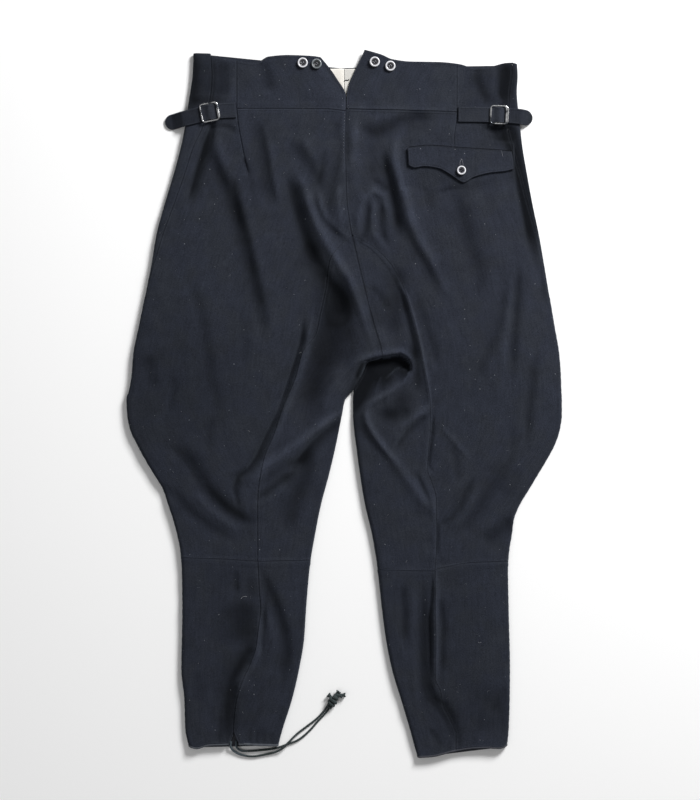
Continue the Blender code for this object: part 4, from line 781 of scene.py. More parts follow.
# %% Painted light and shade, where only the tone changes
# Rows like those of the folds, of painted shade and painted light
PAINTED_LIGHT_AND_SHADE = [
    ("rise left dark", (-3.2, 28), -194, 500, -196, 450, -198, 404),
    ("thighs dark", (-2.6, 30), 20, 170, 10, 130, -4, 90, -24, 50),
    ("thigh left dark", (-1.8, 85), -236, 150, -232, 40, -206, -90),
    ("calf left dark", (-1.5, 60), -150, -190, -148, -320, -146, -480),
    ("calf right dark", (-1.2, 60), 150, -210, 152, -320, 160, -480),
    ("strap left dark", (-3, 6), -214, 424, -196, 424, -180, 426, -166, 426),
    ("flap under", (-2, 8), 92, 322, 128, 322, 150, 310, 168, 302, 196, 312, 230, 318),
    ("rise left stripe", (-2.6, 3.5), -183, 488, -184, 452, -186, 420),
    ("waist left line", (2.4, 1.8), -152, 410.4, -90, 410.1, -26, 409.6),
    ("waist right line", (2.4, 1.8), 4, 416.2, 80, 414.6, 156, 412.2),
    ("knee left line", (3.4, 1.6), -232, -212.6, -164, -214.6, -115, -217.4, -40, -216),
    ("knee right line", (3.4, 1.6), 40, -230, 124, -231, 134, -227.2, 178, -219.5, 236, -217.2),
    ("flap beside", (-2.4, 6), 84, 356, 84, 344, 86, 330),
    ("rise right dark", (-5, 10), 223, 506, 225, 466, 227, 436, 228, 396),
    ("rise right inner", (-3.2, 8), 180, 466, 190, 448, 198, 432, 208, 418),
    ("rise right hip", (-2, 30), 212, 486, 210, 440, 208, 396),
    ("rise left edge", (-4.6, 9), -208, 492, -209, 450, -213, 410),
    ("rise left light", (2.6, 5), -156, 476, -155, 444, -155, 424),
    ("notch tone", (3.6, 18.2), -36, 492, -11, 459, 3.6, 434, 16, 464, 31, 502),
    ("crotch edge dark", (-9, 8.5), 10, 6, 19, 24, 26, 38, 31, 50, 37, 61),
    ("crotch seam light", (2.4, 8), 44, 112, 54, 92, 68, 77),
    ("crotch seam dark", (-5, 1.6), 34.6, 138, 44.2, 104, 52, 77, 53.6, 64),
    ("seam centre light", (3, 2.6), 0.6, 440, 0.2, 404, 0, 370, 0.2, 336, 1.2, 304),
    ("seam centre dark", (-4, 2.4), 5.6, 428, 5.2, 396, 5, 362, 5.2, 330),
    ("seam lower dark", (-4, 2), 9.4, 246, 14, 228, 19.5, 205, 26.5, 175, 34, 145),
    ("seat right by seam", (1.8, 4), 20, 412, 18, 384, 14, 356, 11, 326),
    ("thigh right edge dark", (-2.6, 7), 19, 26, 17, 0, 18, -24, 23, -46),
    ("crotch hollow low", (-9, 14), 44, 44, 58, 38, 74, 40),
    ("crotch edge upper", (-7, 6), 18, 36, 22, 48, 29, 60),
    ("thigh right dark", (-5.2, 16), 66, 16, 80, 6, 98, 10),
    ("thigh right dark low", (-3.2, 13), 56, -4, 66, -18, 72, -30),
    ("thigh right shade low", (-6, 7), 95, 84, 98, 66, 102, 50, 104, 34, 105, 16),
    ("knee left sweep dark", (-3.6, 5.5), -192, -112, -174, -133, -158, -147, -144, -156, -127, -166),
    ("thigh middle light", (2, 12), -14, 110, -20, 86, -26, 62),
    ("thigh middle dark", (-2, 9), 8, 110, 12, 86, 10, 64),
]
# Painted shade in the hollow under the seat's lip
HOLLOW_DARK, HOLLOW_END = 9.0, 0.78   # tone under the lip, and the share of its route where it fades
HOLLOW_ROUTE = OVERHANG + [(82.0, 31.0), (70.0, 23.0)]
HOLLOW_REACH = 27          # how far in from the lip the hollow's own shade goes
print("places where only the tone changes:", len(PAINTED_LIGHT_AND_SHADE))

# %% How a fold fades
FOLD_ENDS = 0.27           # share of a route over which a fold fades in, and out again
FOLD_SOFT = 1.4            # it fades over this many of its half widths at least
FOLD_PAST = 0.1            # share by which it runs on past each end of its route
FOLD_TIP = 0.6             # its width at its ends, as a share of its width in the middle
FOLD_LIMIT = 4             # half widths beyond which it is nothing
COVERED = [                # where a flap or a strap lies on the cloth: x, x, y, y
    (84, 236, 304, 364), (-216, -148, 392, 426), (156, 246, 390, 420),
]
COVERED_SINK = 0.3         # the cloth gives way a little under a flap or a strap
COVERED_FADE = 6           # and the folds die out over this distance beside it
UNEVEN, UNEVEN_WAVES, UNEVEN_SEED = 0.35, 16, 7    # height of the cloth's own slight waves
UNEVEN_LENGTHS = (26.0, 80.0)
LOWEST_SOFT = 1.6          # how sharply the surface keeps above its lowest height


def distance_to(x, y, route):
    """Distance from a route, the share of it that is nearest, the side, and its length."""
    pieces = np.diff(route, axis=0)
    lengths = np.hypot(pieces[:, 0], pieces[:, 1])
    before = np.concatenate([[0], np.cumsum(lengths)])
    best = np.full(np.shape(x), 1e9)
    share = np.zeros(np.shape(x))
    turn = np.zeros(np.shape(x))
    for start, piece, length, run in zip(route, pieces, lengths, before):
        dx, dy = x - start[0], y - start[1]
        t = np.clip((dx * piece[0] + dy * piece[1]) / length ** 2, 0, 1)
        off = np.hypot(dx - t * piece[0], dy - t * piece[1])
        nearer = off < best
        best = np.where(nearer, off, best)
        share = np.where(nearer, (run + t * length) / before[-1], share)
        turn = np.where(nearer, piece[0] * dy - piece[1] * dx, turn)
    return best, share, turn, before[-1]


def fold_height(x, y, folds, spread=1.0):
    """The sum of the folds. Each one is worked out only near its route."""
    total = np.zeros(np.shape(x))
    for _, (height, half_width, *lean), *route in folds:
        corners = np.array(route, float).reshape(-1, 2)
        length = np.hypot(*np.diff(corners, axis=0).T).sum()
        for end, beside in ((0, 1), (-1, -2)):
            way = corners[end] - corners[beside]
            corners[end] += way / np.hypot(*way) * length * FOLD_PAST
        reach = FOLD_LIMIT * half_width
        low, high = corners.min(axis=0) - reach, corners.max(axis=0) + reach
        near = (x > low[0]) & (x < high[0]) & (y > low[1]) & (y < high[1])
        if near.any():
            off, share, turn, length = distance_to(x[near], y[near], corners)
            ends = min(0.5, max(FOLD_ENDS, FOLD_SOFT * half_width / length))
            fade = ease(share / ends) * ease((1 - share) / ends)
            wide = (half_width * spread * (1 + sum(lean) * np.sign(turn))
                    * (FOLD_TIP + (1 - FOLD_TIP) * fade))
            total[near] += height * fade * np.exp(-(off / wide) ** 2)
    return total


def uneven_height(x, y):
    """Slight waves in many directions, from a fixed seed."""
    dice = np.random.default_rng(UNEVEN_SEED)
    total = np.zeros(np.shape(x))
    for _ in range(UNEVEN_WAVES):
        length, angle, start = dice.uniform(*UNEVEN_LENGTHS), dice.uniform(0, 7), dice.uniform(0, 7)
        total += np.sin((x * math.cos(angle) + y * math.sin(angle)) * 2 * math.pi / length + start)
    return total * UNEVEN / math.sqrt(UNEVEN_WAVES)


def bare(x, y):
    """1 on open cloth, 0 under the flap and the straps."""
    free = np.ones(np.shape(x))
    for x0, x1, y0, y1 in COVERED:
        off = np.maximum(np.maximum(x0 - x, x - x1), np.maximum(y0 - y, y - y1))
        free = np.minimum(free, ease(off / COVERED_FADE))
    return free


print("a fold fades in over", FOLD_ENDS, "of its route")

# %% The surface of the upper layer
def room_inside(x, y):
    """Distance from the nearest folded edge."""
    low_y = np.minimum(y, CROTCH)
    in_left_leg = x < (left_inseam(low_y) + right_inseam(low_y)) / 2
    inner = np.where(in_left_leg, left_inseam(low_y) - x, x - right_inseam(low_y))
    inner = np.hypot(inner, np.maximum(y - CROTCH, 0))
    return np.maximum(np.minimum(np.minimum(x - left_side(y), right_side(y) - x), inner), 0)


def calm_height(x, y):
    """The upper layer without folds: low by the folded edges and fuller in the middle."""
    fullness = 1 - np.exp(-room_inside(x, y) / EDGE_REACH)
    return EDGE_TOP + (loft_height(y) - EDGE_TOP) * fullness


def overhang_height(x, y):
    """The drop from the rolled lip of the seat into the hollow under it."""
    off, share, turn, _ = distance_to(x, y, np.array(OVERHANG, float))
    lip = 1 - np.sin(np.minimum(off / OVERHANG_LIP, 1) * math.pi / 2)
    hollow = np.exp(-(off / OVERHANG_HOLLOW) ** 1.4)
    fade = 1 - ease((share - OVERHANG_FADE) / (1 - OVERHANG_FADE))
    return -OVERHANG_DROP * fade * np.where(turn > 0, lip, hollow)


def hollow_shade(x, y):
    """The painted shade in the hollow under the seat's lip."""
    off, share, turn, _ = distance_to(x, y, np.array(HOLLOW_ROUTE, float))
    fade = 1 - ease((share - HOLLOW_END) / (1 - HOLLOW_END))
    return np.where(turn > 0, 0, fade * HOLLOW_DARK * np.exp(-(off / HOLLOW_REACH) ** 4))


def top_height(x, y):
    """Height of the upper layer's outer face."""
    free = bare(x, y)
    folded = fold_height(x, y, FOLDS) * free + uneven_height(x, y) * free
    height = calm_height(x, y) + folded + overhang_height(x, y)
    height = LOWEST_TOP + np.logaddexp(0, (height - LOWEST_TOP) * LOWEST_SOFT) / LOWEST_SOFT
    return height - COVERED_SINK * (1 - free)


probe = top_height(np.array([0.0, -200.0, 200.0]), np.array([200.0, 100.0, 100.0]))
print("heights of the seat and the thighs:", [round(float(v), 1) for v in probe], "mm")

# %% [markdown]
# ## Folded edges
#
# A leg that is laid flat has two cloth layers and a folded edge at each side. A point near
# such an edge is best named by how far round the fold it lies. Here q is that distance in
# millimetres from the outermost line: up over the fold on one face, down under it on the
# other. The same class serves the outer sides, the inseams and the centre back.

# %% Edges
QUARTER = ROLL * math.pi / 2


class Edge:
    """A folded side of the garment. q runs round it from its outermost line, in mm."""

    def __init__(self, line, inward, rolled=None):
        self.line = line
        self.inward = inward
        self.rolled = rolled or (lambda y: np.ones(np.shape(y)))

    def x(self, q, y):
        turn = np.clip(q / QUARTER, -1, 1) * math.pi / 2
        reach = ROLL * (1 - np.cos(turn)) + np.maximum(q - QUARTER, 0)
        return self.line(y) + self.inward * reach

    def q(self, x, y):
        reach = np.maximum(self.inward * (x - self.line(y)), 0)
        turn = np.arccos(1 - np.minimum(reach / ROLL, 1))
        return turn * 2 / math.pi * QUARTER + np.maximum(reach - ROLL, 0)

    def upper(self, q, y):
        x = self.x(q, y)
        height = top_height(x, y)
        turn = np.clip(q / QUARTER, -1, 1) * math.pi / 2
        shoulder = top_height(self.line(y) + self.inward * ROLL, y)
        rolled = ROLL_MIDDLE + (shoulder - ROLL_MIDDLE) * np.sin(turn)
        share = self.rolled(y) * (q < QUARTER)
        return np.stack([x, y, height + (rolled - height) * share], axis=-1)

    def lower(self, q, y):
        turn = np.clip(q / QUARTER, -1, 1) * math.pi / 2
        z = ROLL_MIDDLE * (1 - np.sin(turn)) * self.rolled(y)
        return np.stack([self.x(q, y), y, z], axis=-1)


def seam_then_inseam(inseam, offset):
    """Centre back seam and overhang down to the crotch, then the leg's own inner edge."""
    return lambda y: np.where(y > CROTCH, centre_back(y) + offset, inseam(y))


def below_crotch(y):
    """0 where the edge lies on cloth, 1 where it is rolled down to the surface."""
    return ease((CROTCH + 1 - y) / 7)


EDGES = {
    "outer_left": Edge(left_side, 1),
    "outer_right": Edge(right_side, -1),
    "inner_left": Edge(seam_then_inseam(left_inseam, 0.0), -1, below_crotch),
    "inner_right": Edge(seam_then_inseam(right_inseam, SEAM_GAP), 1, below_crotch),
    "front_left": Edge(lambda y: np.where(y > CROTCH, front_centre(y), left_inseam(y)), -1,
                       below_crotch),
    "front_right": Edge(lambda y: np.where(y > CROTCH, front_centre(y) + SEAM_GAP,
                                           right_inseam(y)), 1, below_crotch),
}
print(len(EDGES), "edges")

# %% [markdown]
# ## From a grid of points to a piece of cloth
#
# A pattern piece has four sides, so a grid of rows and columns fits it. The grid's outer
# face is the cloth that shows, and an inner face lies the cloth's thickness under it. Where
# a piece is sewn, its edge is turned under: it curves down over a millimetre, and two such
# edges side by side give the fine groove of a seam. The seam allowance is pressed to one
# side, and raises the cloth over it a little. The thread draws the cloth in small puckers.

# %% Cloth grids
STEP = 2.5                 # between the points of the cloth that shows
FLAT_STEP = 9.0            # between the points of the cloth that lies underneath
CLOSE = [0.0, 0.25, 0.6, 1.0, 1.7, 2.8, 4.2]      # first points beside a sewn edge
TURN = 0.45                # radius of a turned edge
BAND_WIDTH = 8.0           # of the seam allowance under the cloth
PUCKER, PUCKER_LENGTH, PUCKER_REACH = 0.16, 9.5, 6      # height, length, and how far in it goes
GROOVE_DEEP, GROOVE_RISE = 0.9, 0.5     # a dart's groove, and the ridge of its allowance
# The folds are painted as well: lighter on their ridges, darker in their hollows
SHADE_SPREAD = 1.4         # a fold's change of tone is wider than its relief
# Painted shade where the folded edges roll under
EDGE_SHADE, EDGE_SHADE_REACH = 3.5, 3.5   # how much darker the folded edges are, and how far in
FAR_FROM_SEAM = 20.0       # the distance from a seam isn't told beyond this
ROUNDS = 6                 # how often rows are moved, until they lie on their curved seams
ABOUT = {                  # how wide or long a part is, near enough to share out its points
    "hip": 95.0, "seat": 150.0, "inner leg": 100.0, "calf": 90.0, "rise": 72.0, "front": 240.0,
    "wrap": 24.0, "hem": 75.0,
}


def spaced(length, step=STEP, first=True, last=True):
    """Shares from 0 to 1 of a length, a step apart, with close points at a sewn edge."""
    head = CLOSE if first else [0.0]
    tail = [length - v for v in (CLOSE if last else [0.0])][::-1]
    count = max(1, round((tail[0] - head[-1]) / step))
    middle = [head[-1] + (tail[0] - head[-1]) * n / count for n in range(1, count)]
    return np.array(head + middle + tail) / length


def rows_between(high, low, first=True, last=True, step=STEP):
    """Heights down the garment from high to low."""
    return list(high - (high - low) * spaced(high - low, step, first, last))


def outward(surface, q, y, inward):
    """Unit normals of a surface given by q and y, pointing out of the garment."""
    reach = 0.4
    q = np.maximum(q, reach / 20)
    along = surface(q + reach, y) - surface(q - reach, y)
    down = surface(q, y + reach) - surface(q, y - reach)
    normal = np.cross(along, down) * inward
    return normal / np.linalg.norm(normal, axis=-1, keepdims=True)


def settle(edge, rows, stops, shares, shift):
    """Share out each row between its stops. Rows follow the curved seams by their shift."""
    nominal = np.repeat(np.array(rows, float)[:, None], sum(len(s) for s in shares), axis=1)
    y = nominal.copy()
    for _ in range(ROUNDS):
        q, at = [], 0
        for low, high, part in zip(stops, stops[1:], shares):
            here = y[:, at:at + len(part)]
            q.append(low(here) + np.array(part) * (high(here) - low(here)))
            at += len(part)
        q = np.concatenate(q, axis=1)
        y = nominal + shift(edge.x(q, y), nominal)
    return q, y


def side_distances(points, cells):
    """Distances of every grid point from the piece's first, last, top and bottom sides."""
    used = np.zeros(points.shape[:2], bool)
    for di in (0, 1):
        for dj in (0, 1):
            used[di:di + cells.shape[0], dj:dj + cells.shape[1]] |= cells
    result = {}
    for axis, (low, high) in ((1, ("first", "last")), (0, ("top", "bottom"))):
        gaps = np.linalg.norm(np.diff(points, axis=axis), axis=-1)
        run = np.concatenate([np.zeros_like(np.take(gaps, [0], axis)), np.cumsum(gaps, axis)],
                             axis)
        start = np.argmax(used, axis=axis)
        end = used.shape[axis] - 1 - np.argmax(np.flip(used, axis), axis=axis)
        start, end = np.expand_dims(start, axis), np.expand_dims(end, axis)
        result[low] = np.maximum(run - np.take_along_axis(run, start, axis), 0)
        result[high] = np.maximum(np.take_along_axis(run, end, axis) - run, 0)
    return result


def whole_grid(points):
    """Every cell of a grid of points."""
    return np.ones((points.shape[0] - 1, points.shape[1] - 1), bool)


def shell(name, outer, inner, cells=None, marks=None, weave=None):
    """A closed mesh between two grids of points, over the grid cells that are kept."""
    rows, cols = outer.shape[:2]
    cells = whole_grid(outer) if cells is None else cells
    at = np.arange(rows * cols).reshape(rows, cols)
    corner = [at[:-1, :-1], at[:-1, 1:], at[1:, 1:], at[1:, :-1]]
    quads = np.stack([part[cells] for part in corner], axis=1)
    padded = np.pad(cells, 1)
    walls = []
    for side, (di, dj) in enumerate(((-1, 0), (0, 1), (1, 0), (0, -1))):
        border = cells & ~padded[1 + di:rows + di, 1 + dj:cols + dj]
        walls.append(np.stack([corner[side][border], corner[(side + 1) % 4][border]], axis=1))
    walls = np.concatenate(walls)
    total = rows * cols
    faces = np.concatenate([quads, quads[:, ::-1] + total,
                            np.stack([walls[:, 1], walls[:, 0], walls[:, 0] + total,
                                      walls[:, 1] + total], axis=1)])
    points = np.concatenate([outer.reshape(-1, 3), inner.reshape(-1, 3)])
    sample = points[quads[len(quads) // 2]]
    facing = np.cross(sample[2] - sample[0], sample[3] - sample[1])
    if facing @ (sample[0] - points[quads[len(quads) // 2][0] + total]) < 0:
        faces = faces[:, ::-1]
    used, faces = np.unique(faces, return_inverse=True)
    faces = faces.reshape(-1, 4)
    mesh = bpy.data.meshes.new(name)
    mesh.vertices.add(len(used))
    mesh.vertices.foreach_set("co", (points[used] * MM).ravel())
    mesh.loops.add(faces.size)
    mesh.loops.foreach_set("vertex_index", faces.ravel())
    mesh.polygons.add(len(faces))
    mesh.polygons.foreach_set("loop_start", np.arange(len(faces)) * 4)
    mesh.update(calc_edges=True)
    mesh.polygons.foreach_set("use_smooth", np.ones(len(faces), bool))
    for mark, values in (marks or {}).items():
        flat = np.concatenate([values.ravel(), values.ravel()])[used].astype(np.float32)
        mesh.attributes.new(mark, "FLOAT", "POINT").data.foreach_set("value", flat)
    weave = outer[..., :2] if weave is None else weave
    flat = np.concatenate([weave.reshape(-1, 2), weave.reshape(-1, 2)])[used][faces.ravel()]
    mesh.uv_layers.new(name="weave").data.foreach_set("uv", (flat * MM).ravel())
    return placed(name, mesh)


# %% Wool pieces
PIECES = {}                # every wool piece by name, for what lies on it
ALL_SIDES = ("first", "last", "top", "bottom")


def cloth(name, outer_face, normals, cells=None, bands=(), sewn=ALL_SIDES, groove=None):
    """A piece of wool, with turned edges, pressed allowances and puckers at its seams."""
    cells = whole_grid(outer_face) if cells is None else cells
    away = side_distances(outer_face, cells)
    nearest = np.minimum.reduce([away[side] for side in sewn])
    x, y = outer_face[..., 0], outer_face[..., 1]
    lift = np.zeros(x.shape)
    for side, height in bands:
        lift += height * (1 - ease((away[side] - BAND_WIDTH + 1.5) / 3))
    dice = np.random.default_rng(len(name))
    run = (y if sewn[:1] in (("first",), ("last",)) else x) / PUCKER_LENGTH
    wander = np.sin(run * 1.7 + dice.uniform(0, 7)) * 1.3
    lift += (PUCKER * np.exp(-nearest / PUCKER_REACH) * np.sin(2 * math.pi * run + wander)
             * bare(x, y))
    turned = TURN - np.sqrt(np.maximum(TURN ** 2 - np.maximum(TURN - nearest, 0) ** 2, 0))
    if groove is not None:
        column, fade = groove
        off = away["first"] - away["first"][:, [column]]
        lift += fade(y) * (GROOVE_RISE * ease(off / 0.6) * (1 - ease((off - 7) / 4))
                           - GROOVE_DEEP * np.exp(-(off / 0.7) ** 2))
    outer = outer_face + normals * (lift - turned)[..., None]
    inner = outer_face - normals * WOOL
    # The tone mark: painted light and shade from the folds and the painted rows, painted shade by the
    # folded edges and under the seat's lip
    raised = (fold_height(x, y, FOLDS, SHADE_SPREAD) + fold_height(x, y, PAINTED_LIGHT_AND_SHADE)
              - EDGE_SHADE * np.exp(-room_inside(x, y) / EDGE_SHADE_REACH) - hollow_shade(x, y))
    marks = {"from_seam": np.minimum(nearest, FAR_FROM_SEAM), "raised": raised}
    weave = np.stack([away["first"], away["top"]], axis=-1)
    PIECES[name] = shell(name, outer, inner, cells, marks, weave)
    print(name, len(PIECES[name].data.polygons), "faces")


print("first points beside a seam:", CLOSE, "mm")

# %% [markdown]
# ## The pieces of the back
#
# The outer back runs from the waist to the knee, and its dart shapes the hip. The inner leg
# is a long wedge whose point lies at the centre back seam, which is what makes these
# breeches a riding cut. The calf pieces are close and meet in a seam that opens at the hem.

# %% What each side is made of
CUT_LINES = {
    "left": dict(dart=DART_LEFT, thigh=THIGH_SEAM_LEFT, calf=CALF_SEAM_LEFT, top=BACK_TOP_LEFT,
                 waist=WAIST_LEFT, knee=KNEE_LINE_LEFT, hem=HEM_LINE_LEFT, notch=NOTCH_LEFT),
    "right": dict(dart=DART_RIGHT, thigh=THIGH_SEAM_RIGHT, calf=CALF_SEAM_RIGHT, top=BACK_TOP_RIGHT,
                  waist=WAIST_RIGHT, knee=KNEE_LINE_RIGHT, hem=HEM_LINE_RIGHT, notch=NOTCH_RIGHT),
}
SIDE_DATA = {
    "left": dict(wrap=smooth_line(WRAP, 1), knee_y=KNEE_LEFT, hem_y=HEM_LEFT, sign=-1,
                 dart_end=306.0, slit_share=1.0),
    "right": dict(wrap=smooth_line(WRAP, 2), knee_y=KNEE_RIGHT, hem_y=HEM_RIGHT, sign=1,
                  dart_end=330.0, slit_share=0.0),
}
for side, data in SIDE_DATA.items():
    data |= {name: smooth_line(rows) for name, rows in CUT_LINES[side].items()}
    data |= {part: EDGES[part + "_" + side] for part in ("outer", "inner", "front")}
front_top, hem_slit = smooth_line(FRONT_TOP), smooth_line(HEM_SLIT)
ROW_EASE = 60              # rows take a seam's curve up over this length


def weight(y, full, none):
    """1 at y = full, 0 from y = none on."""
    return np.clip((y - none) / (full - none), 0, 1)


def side_seam(data):
    """q of the side seam on the upper layer, where the front ends and the back begins."""
    wrap, edge = data["wrap"], data["outer"]
    return lambda y: np.where(y >= WRAP_END, edge.q(edge.line(y) + edge.inward * wrap(y), y), 0.0)


def to_knee_line(data, x, y):
    """How far a row moves, to follow the curved knee seam."""
    knee_y = data["knee_y"]
    return weight(y, knee_y, knee_y + ROW_EASE) * (data["knee"](x) - knee_y)


print("lines on each side:", sorted(CUT_LINES["left"]))

# %% Backs
def back_panel(side):
    """Outer back: hip, seat and thigh, with the place of the centre back rise cut out."""
    data = SIDE_DATA[side]
    edge, seam = data["outer"], side_seam(data)
    dart, thigh, top, waist = (data[name] for name in ("dart", "thigh", "top", "waist"))
    gap = SEAM_GAP * data["sign"]

    def start(y):
        return seam(y) + np.where(y >= WRAP_END, SEAM_GAP, 0.0)

    def dart_q(y):
        return edge.q(dart(y), y)

    def end(y):
        inner = np.where(y > INNER_LEG_TOP, centre_back(y) + max(gap, 0), thigh(y) + gap)
        return edge.q(inner, y)

    def shift(x, y):
        from_top = weight(y, WAIST_TOP, WAIST_SEAM) * (top(x) - WAIST_TOP)
        past_dart = data["sign"] * (dart(y) - x) > -0.5
        sunk = ease((y - WAIST_SEAM + ROW_EASE) / ROW_EASE) * (y <= WAIST_SEAM) * past_dart
        from_waist = (waist(x) - SEAM_GAP - WAIST_SEAM) * sunk
        return from_top + from_waist + to_knee_line(data, x, y)

    above = rows_between(WAIST_TOP, WAIST_SEAM)
    rows = above + rows_between(WAIST_SEAM, INNER_LEG_TOP, True, False)[1:]
    rows += rows_between(INNER_LEG_TOP, data["knee_y"], False, True)[1:]
    shares = [spaced(ABOUT["hip"]), spaced(ABOUT["seat"])[1:]]
    q, y = settle(edge, rows, [start, dart_q, end], shares, shift)
    cells = whole_grid(q)
    cells[:len(above) - 1, len(shares[0]) - 1:] = False
    dart_end = data["dart_end"]
    cloth("cloth_back_" + side, edge.upper(q, y), outward(edge.upper, q, y, edge.inward),
          cells, bands=[("first", 0.35)],
          groove=(len(shares[0]) - 1, lambda y: ease((y - dart_end) / 50) * (y < WAIST_SEAM)))


def inner_leg(side):
    """Inner leg and seat piece, from a point at the centre back seam to the knee."""
    data = SIDE_DATA[side]
    edge = data["inner"]

    def end(y):
        return edge.q(data["thigh"](y), y)

    def shift(x, y):
        return to_knee_line(data, x, y)

    rows = rows_between(INNER_LEG_TOP, data["knee_y"])
    q, y = settle(edge, rows, [np.zeros_like, end], [spaced(ABOUT["inner leg"])], shift)
    cloth("cloth_inner_leg_" + side, edge.upper(q, y), outward(edge.upper, q, y, edge.inward),
          bands=[("last", 0.6)])


def calf_panel(side, part):
    """Back of the calf, outside or inside its seam, from the knee seam to the hem binding."""
    data = SIDE_DATA[side]
    edge = data[part]
    gap = SEAM_GAP if part == "outer" else 0.0

    def end(y):
        return edge.q(data["calf"](y) - edge.inward * (hem_slit(y) * data["slit_share"] + gap), y)

    def shift(x, y):
        share = (y - data["hem_y"]) / (data["knee_y"] - data["hem_y"])
        top = data["knee"](x) - SEAM_GAP
        bottom = data["hem"](x) + BINDING + SEAM_GAP
        return bottom + (top - bottom) * share - y

    rows = rows_between(data["knee_y"], data["hem_y"])
    q, y = settle(edge, rows, [np.zeros_like, end], [spaced(ABOUT["calf"])], shift)
    bands = [("top", 0.45)] + ([("last", 0.5)] if part == "inner" else [])
    cloth("cloth_calf_%s_%s" % (part, side), edge.upper(q, y),
          outward(edge.upper, q, y, edge.inward), bands=bands)


for side in SIDE_DATA:
    back_panel(side)
    inner_leg(side)
    calf_panel(side, "outer")
    calf_panel(side, "inner")

# %% Back rises
def back_rise(side):
    """Raised centre back piece, from the waist seam up to its curved top and the V notch."""
    data = SIDE_DATA[side]
    edge = data["inner"]
    gap = SEAM_GAP * data["sign"]
    shares = spaced(ABOUT["seat"])[None, :]
    lift = 1 - spaced(ABOUT["rise"])[:, None]
    y = WAIST_SEAM + lift * (WAIST_TOP - WAIST_SEAM) + 0 * shares
    for _ in range(2 * ROUNDS):
        start = data["notch"](y) + max(gap, 0)
        x = start + shares * (data["dart"](y) - gap - start)
        waist = data["waist"](x)
        y = waist + lift * (data["top"](x) - waist)
    q = edge.inward * (x - edge.line(y)) - ROLL + QUARTER

    def surface(q_, y_):
        x_ = edge.line(y_) + edge.inward * (q_ - QUARTER + ROLL)
        return np.stack([x_, y_, top_height(x_, y_)], axis=-1)

    cloth("cloth_back_rise_" + side, surface(q, y), outward(surface, q, y, edge.inward),
          bands=[("bottom", 0.5), ("last", 0.3)])


# %% Fronts
def front_panel(side):
    """Front, flat on the surface, rolled up at both edges and over to the side seam."""
    data = SIDE_DATA[side]
    inner, outer, seam = data["front"], data["outer"], side_seam(data)
    knee, hem, knee_y, hem_y = (data[name] for name in ("knee", "hem", "knee_y", "hem_y"))
    rows = (rows_between(WAIST_TOP, WRAP_END, True, False)
            + rows_between(WRAP_END, knee_y, False, False, FLAT_STEP)[1:]
            + rows_between(knee_y, hem_y, False, False, FLAT_STEP)[1:])
    rows = np.array(rows)[:, None]

    def row_y(x, wrap_share):
        share = (rows - hem_y) / (knee_y - hem_y)
        bottom = hem(x) + BINDING + SEAM_GAP
        calf = bottom + (knee(x) - bottom) * share
        top = front_top(x)
        edge_top = top + (data["top"](x) - top) * wrap_share * (side == "right")
        seat = rows + weight(rows, WAIST_TOP, WAIST_SEAM) * (edge_top - WAIST_TOP)
        return np.where(rows > knee_y, seat + to_knee_line(data, x, rows), calf)

    def column(edge, share, is_upper):
        y = rows + 0.0
        for _ in range(ROUNDS):
            q = share * (seam(y) if is_upper else QUARTER + 0 * y)
            y = row_y(edge.x(q, y), share * is_upper)
        face = edge.upper if is_upper else edge.lower
        return face(q, y), outward(face, q, y, edge.inward * (1 if is_upper else -1))

    turns = np.linspace(0, 1, 7)
    under_inner = [column(inner, share, False) for share in turns]
    under_outer = [column(outer, share, False) for share in turns[::-1]]
    over = [column(outer, share, True) for share in spaced(ABOUT["wrap"], STEP, False, True)[1:]]
    flat = []
    for share in spaced(ABOUT["front"], FLAT_STEP, False, False)[1:-1]:
        point = under_inner[-1][0] * (1 - share) + under_outer[0][0] * share
        flat.append((point, np.broadcast_to([0.0, 0.0, -1.0], point.shape)))
    columns = under_inner + flat + under_outer + over
    face = np.concatenate([point for point, _ in columns], axis=1)
    normals = np.concatenate([normal for _, normal in columns], axis=1)
    face[..., 2] = np.where(face[..., 2] < 1e-6, 0.0, face[..., 2])
    cells = whole_grid(face)
    cells[rows[1:, 0] < WRAP_END - 0.01, len(columns) - len(over) - 1:] = False
    cloth("cloth_front_" + side, face, normals, cells, sewn=("last", "top"))


for side in SIDE_DATA:
    back_rise(side)
    front_panel(side)

# %% [markdown]
# ## Wool
#
# The cloth is a heavy twill with a raised nap. The nap hides most of the diagonal lines and
# breaks the light up, so the wool has no gloss. It only has the pale bloom that the fibre
# ends show at a low angle, which is what sheen is for. Dust and white lint cling to it.
# Where an edge is turned it is a little paler, from rubbing and as a painted highlight.
# The folds have painted light on their ridges and painted shade in their hollows, and the
# seam grooves and folded edges have painted shade.

# %% Twill
def centred(tree, value, gain):
    """A value's way above or below one half, times a gain."""
    return times(tree, maths(tree, "SUBTRACT", value, 0.5), gain)


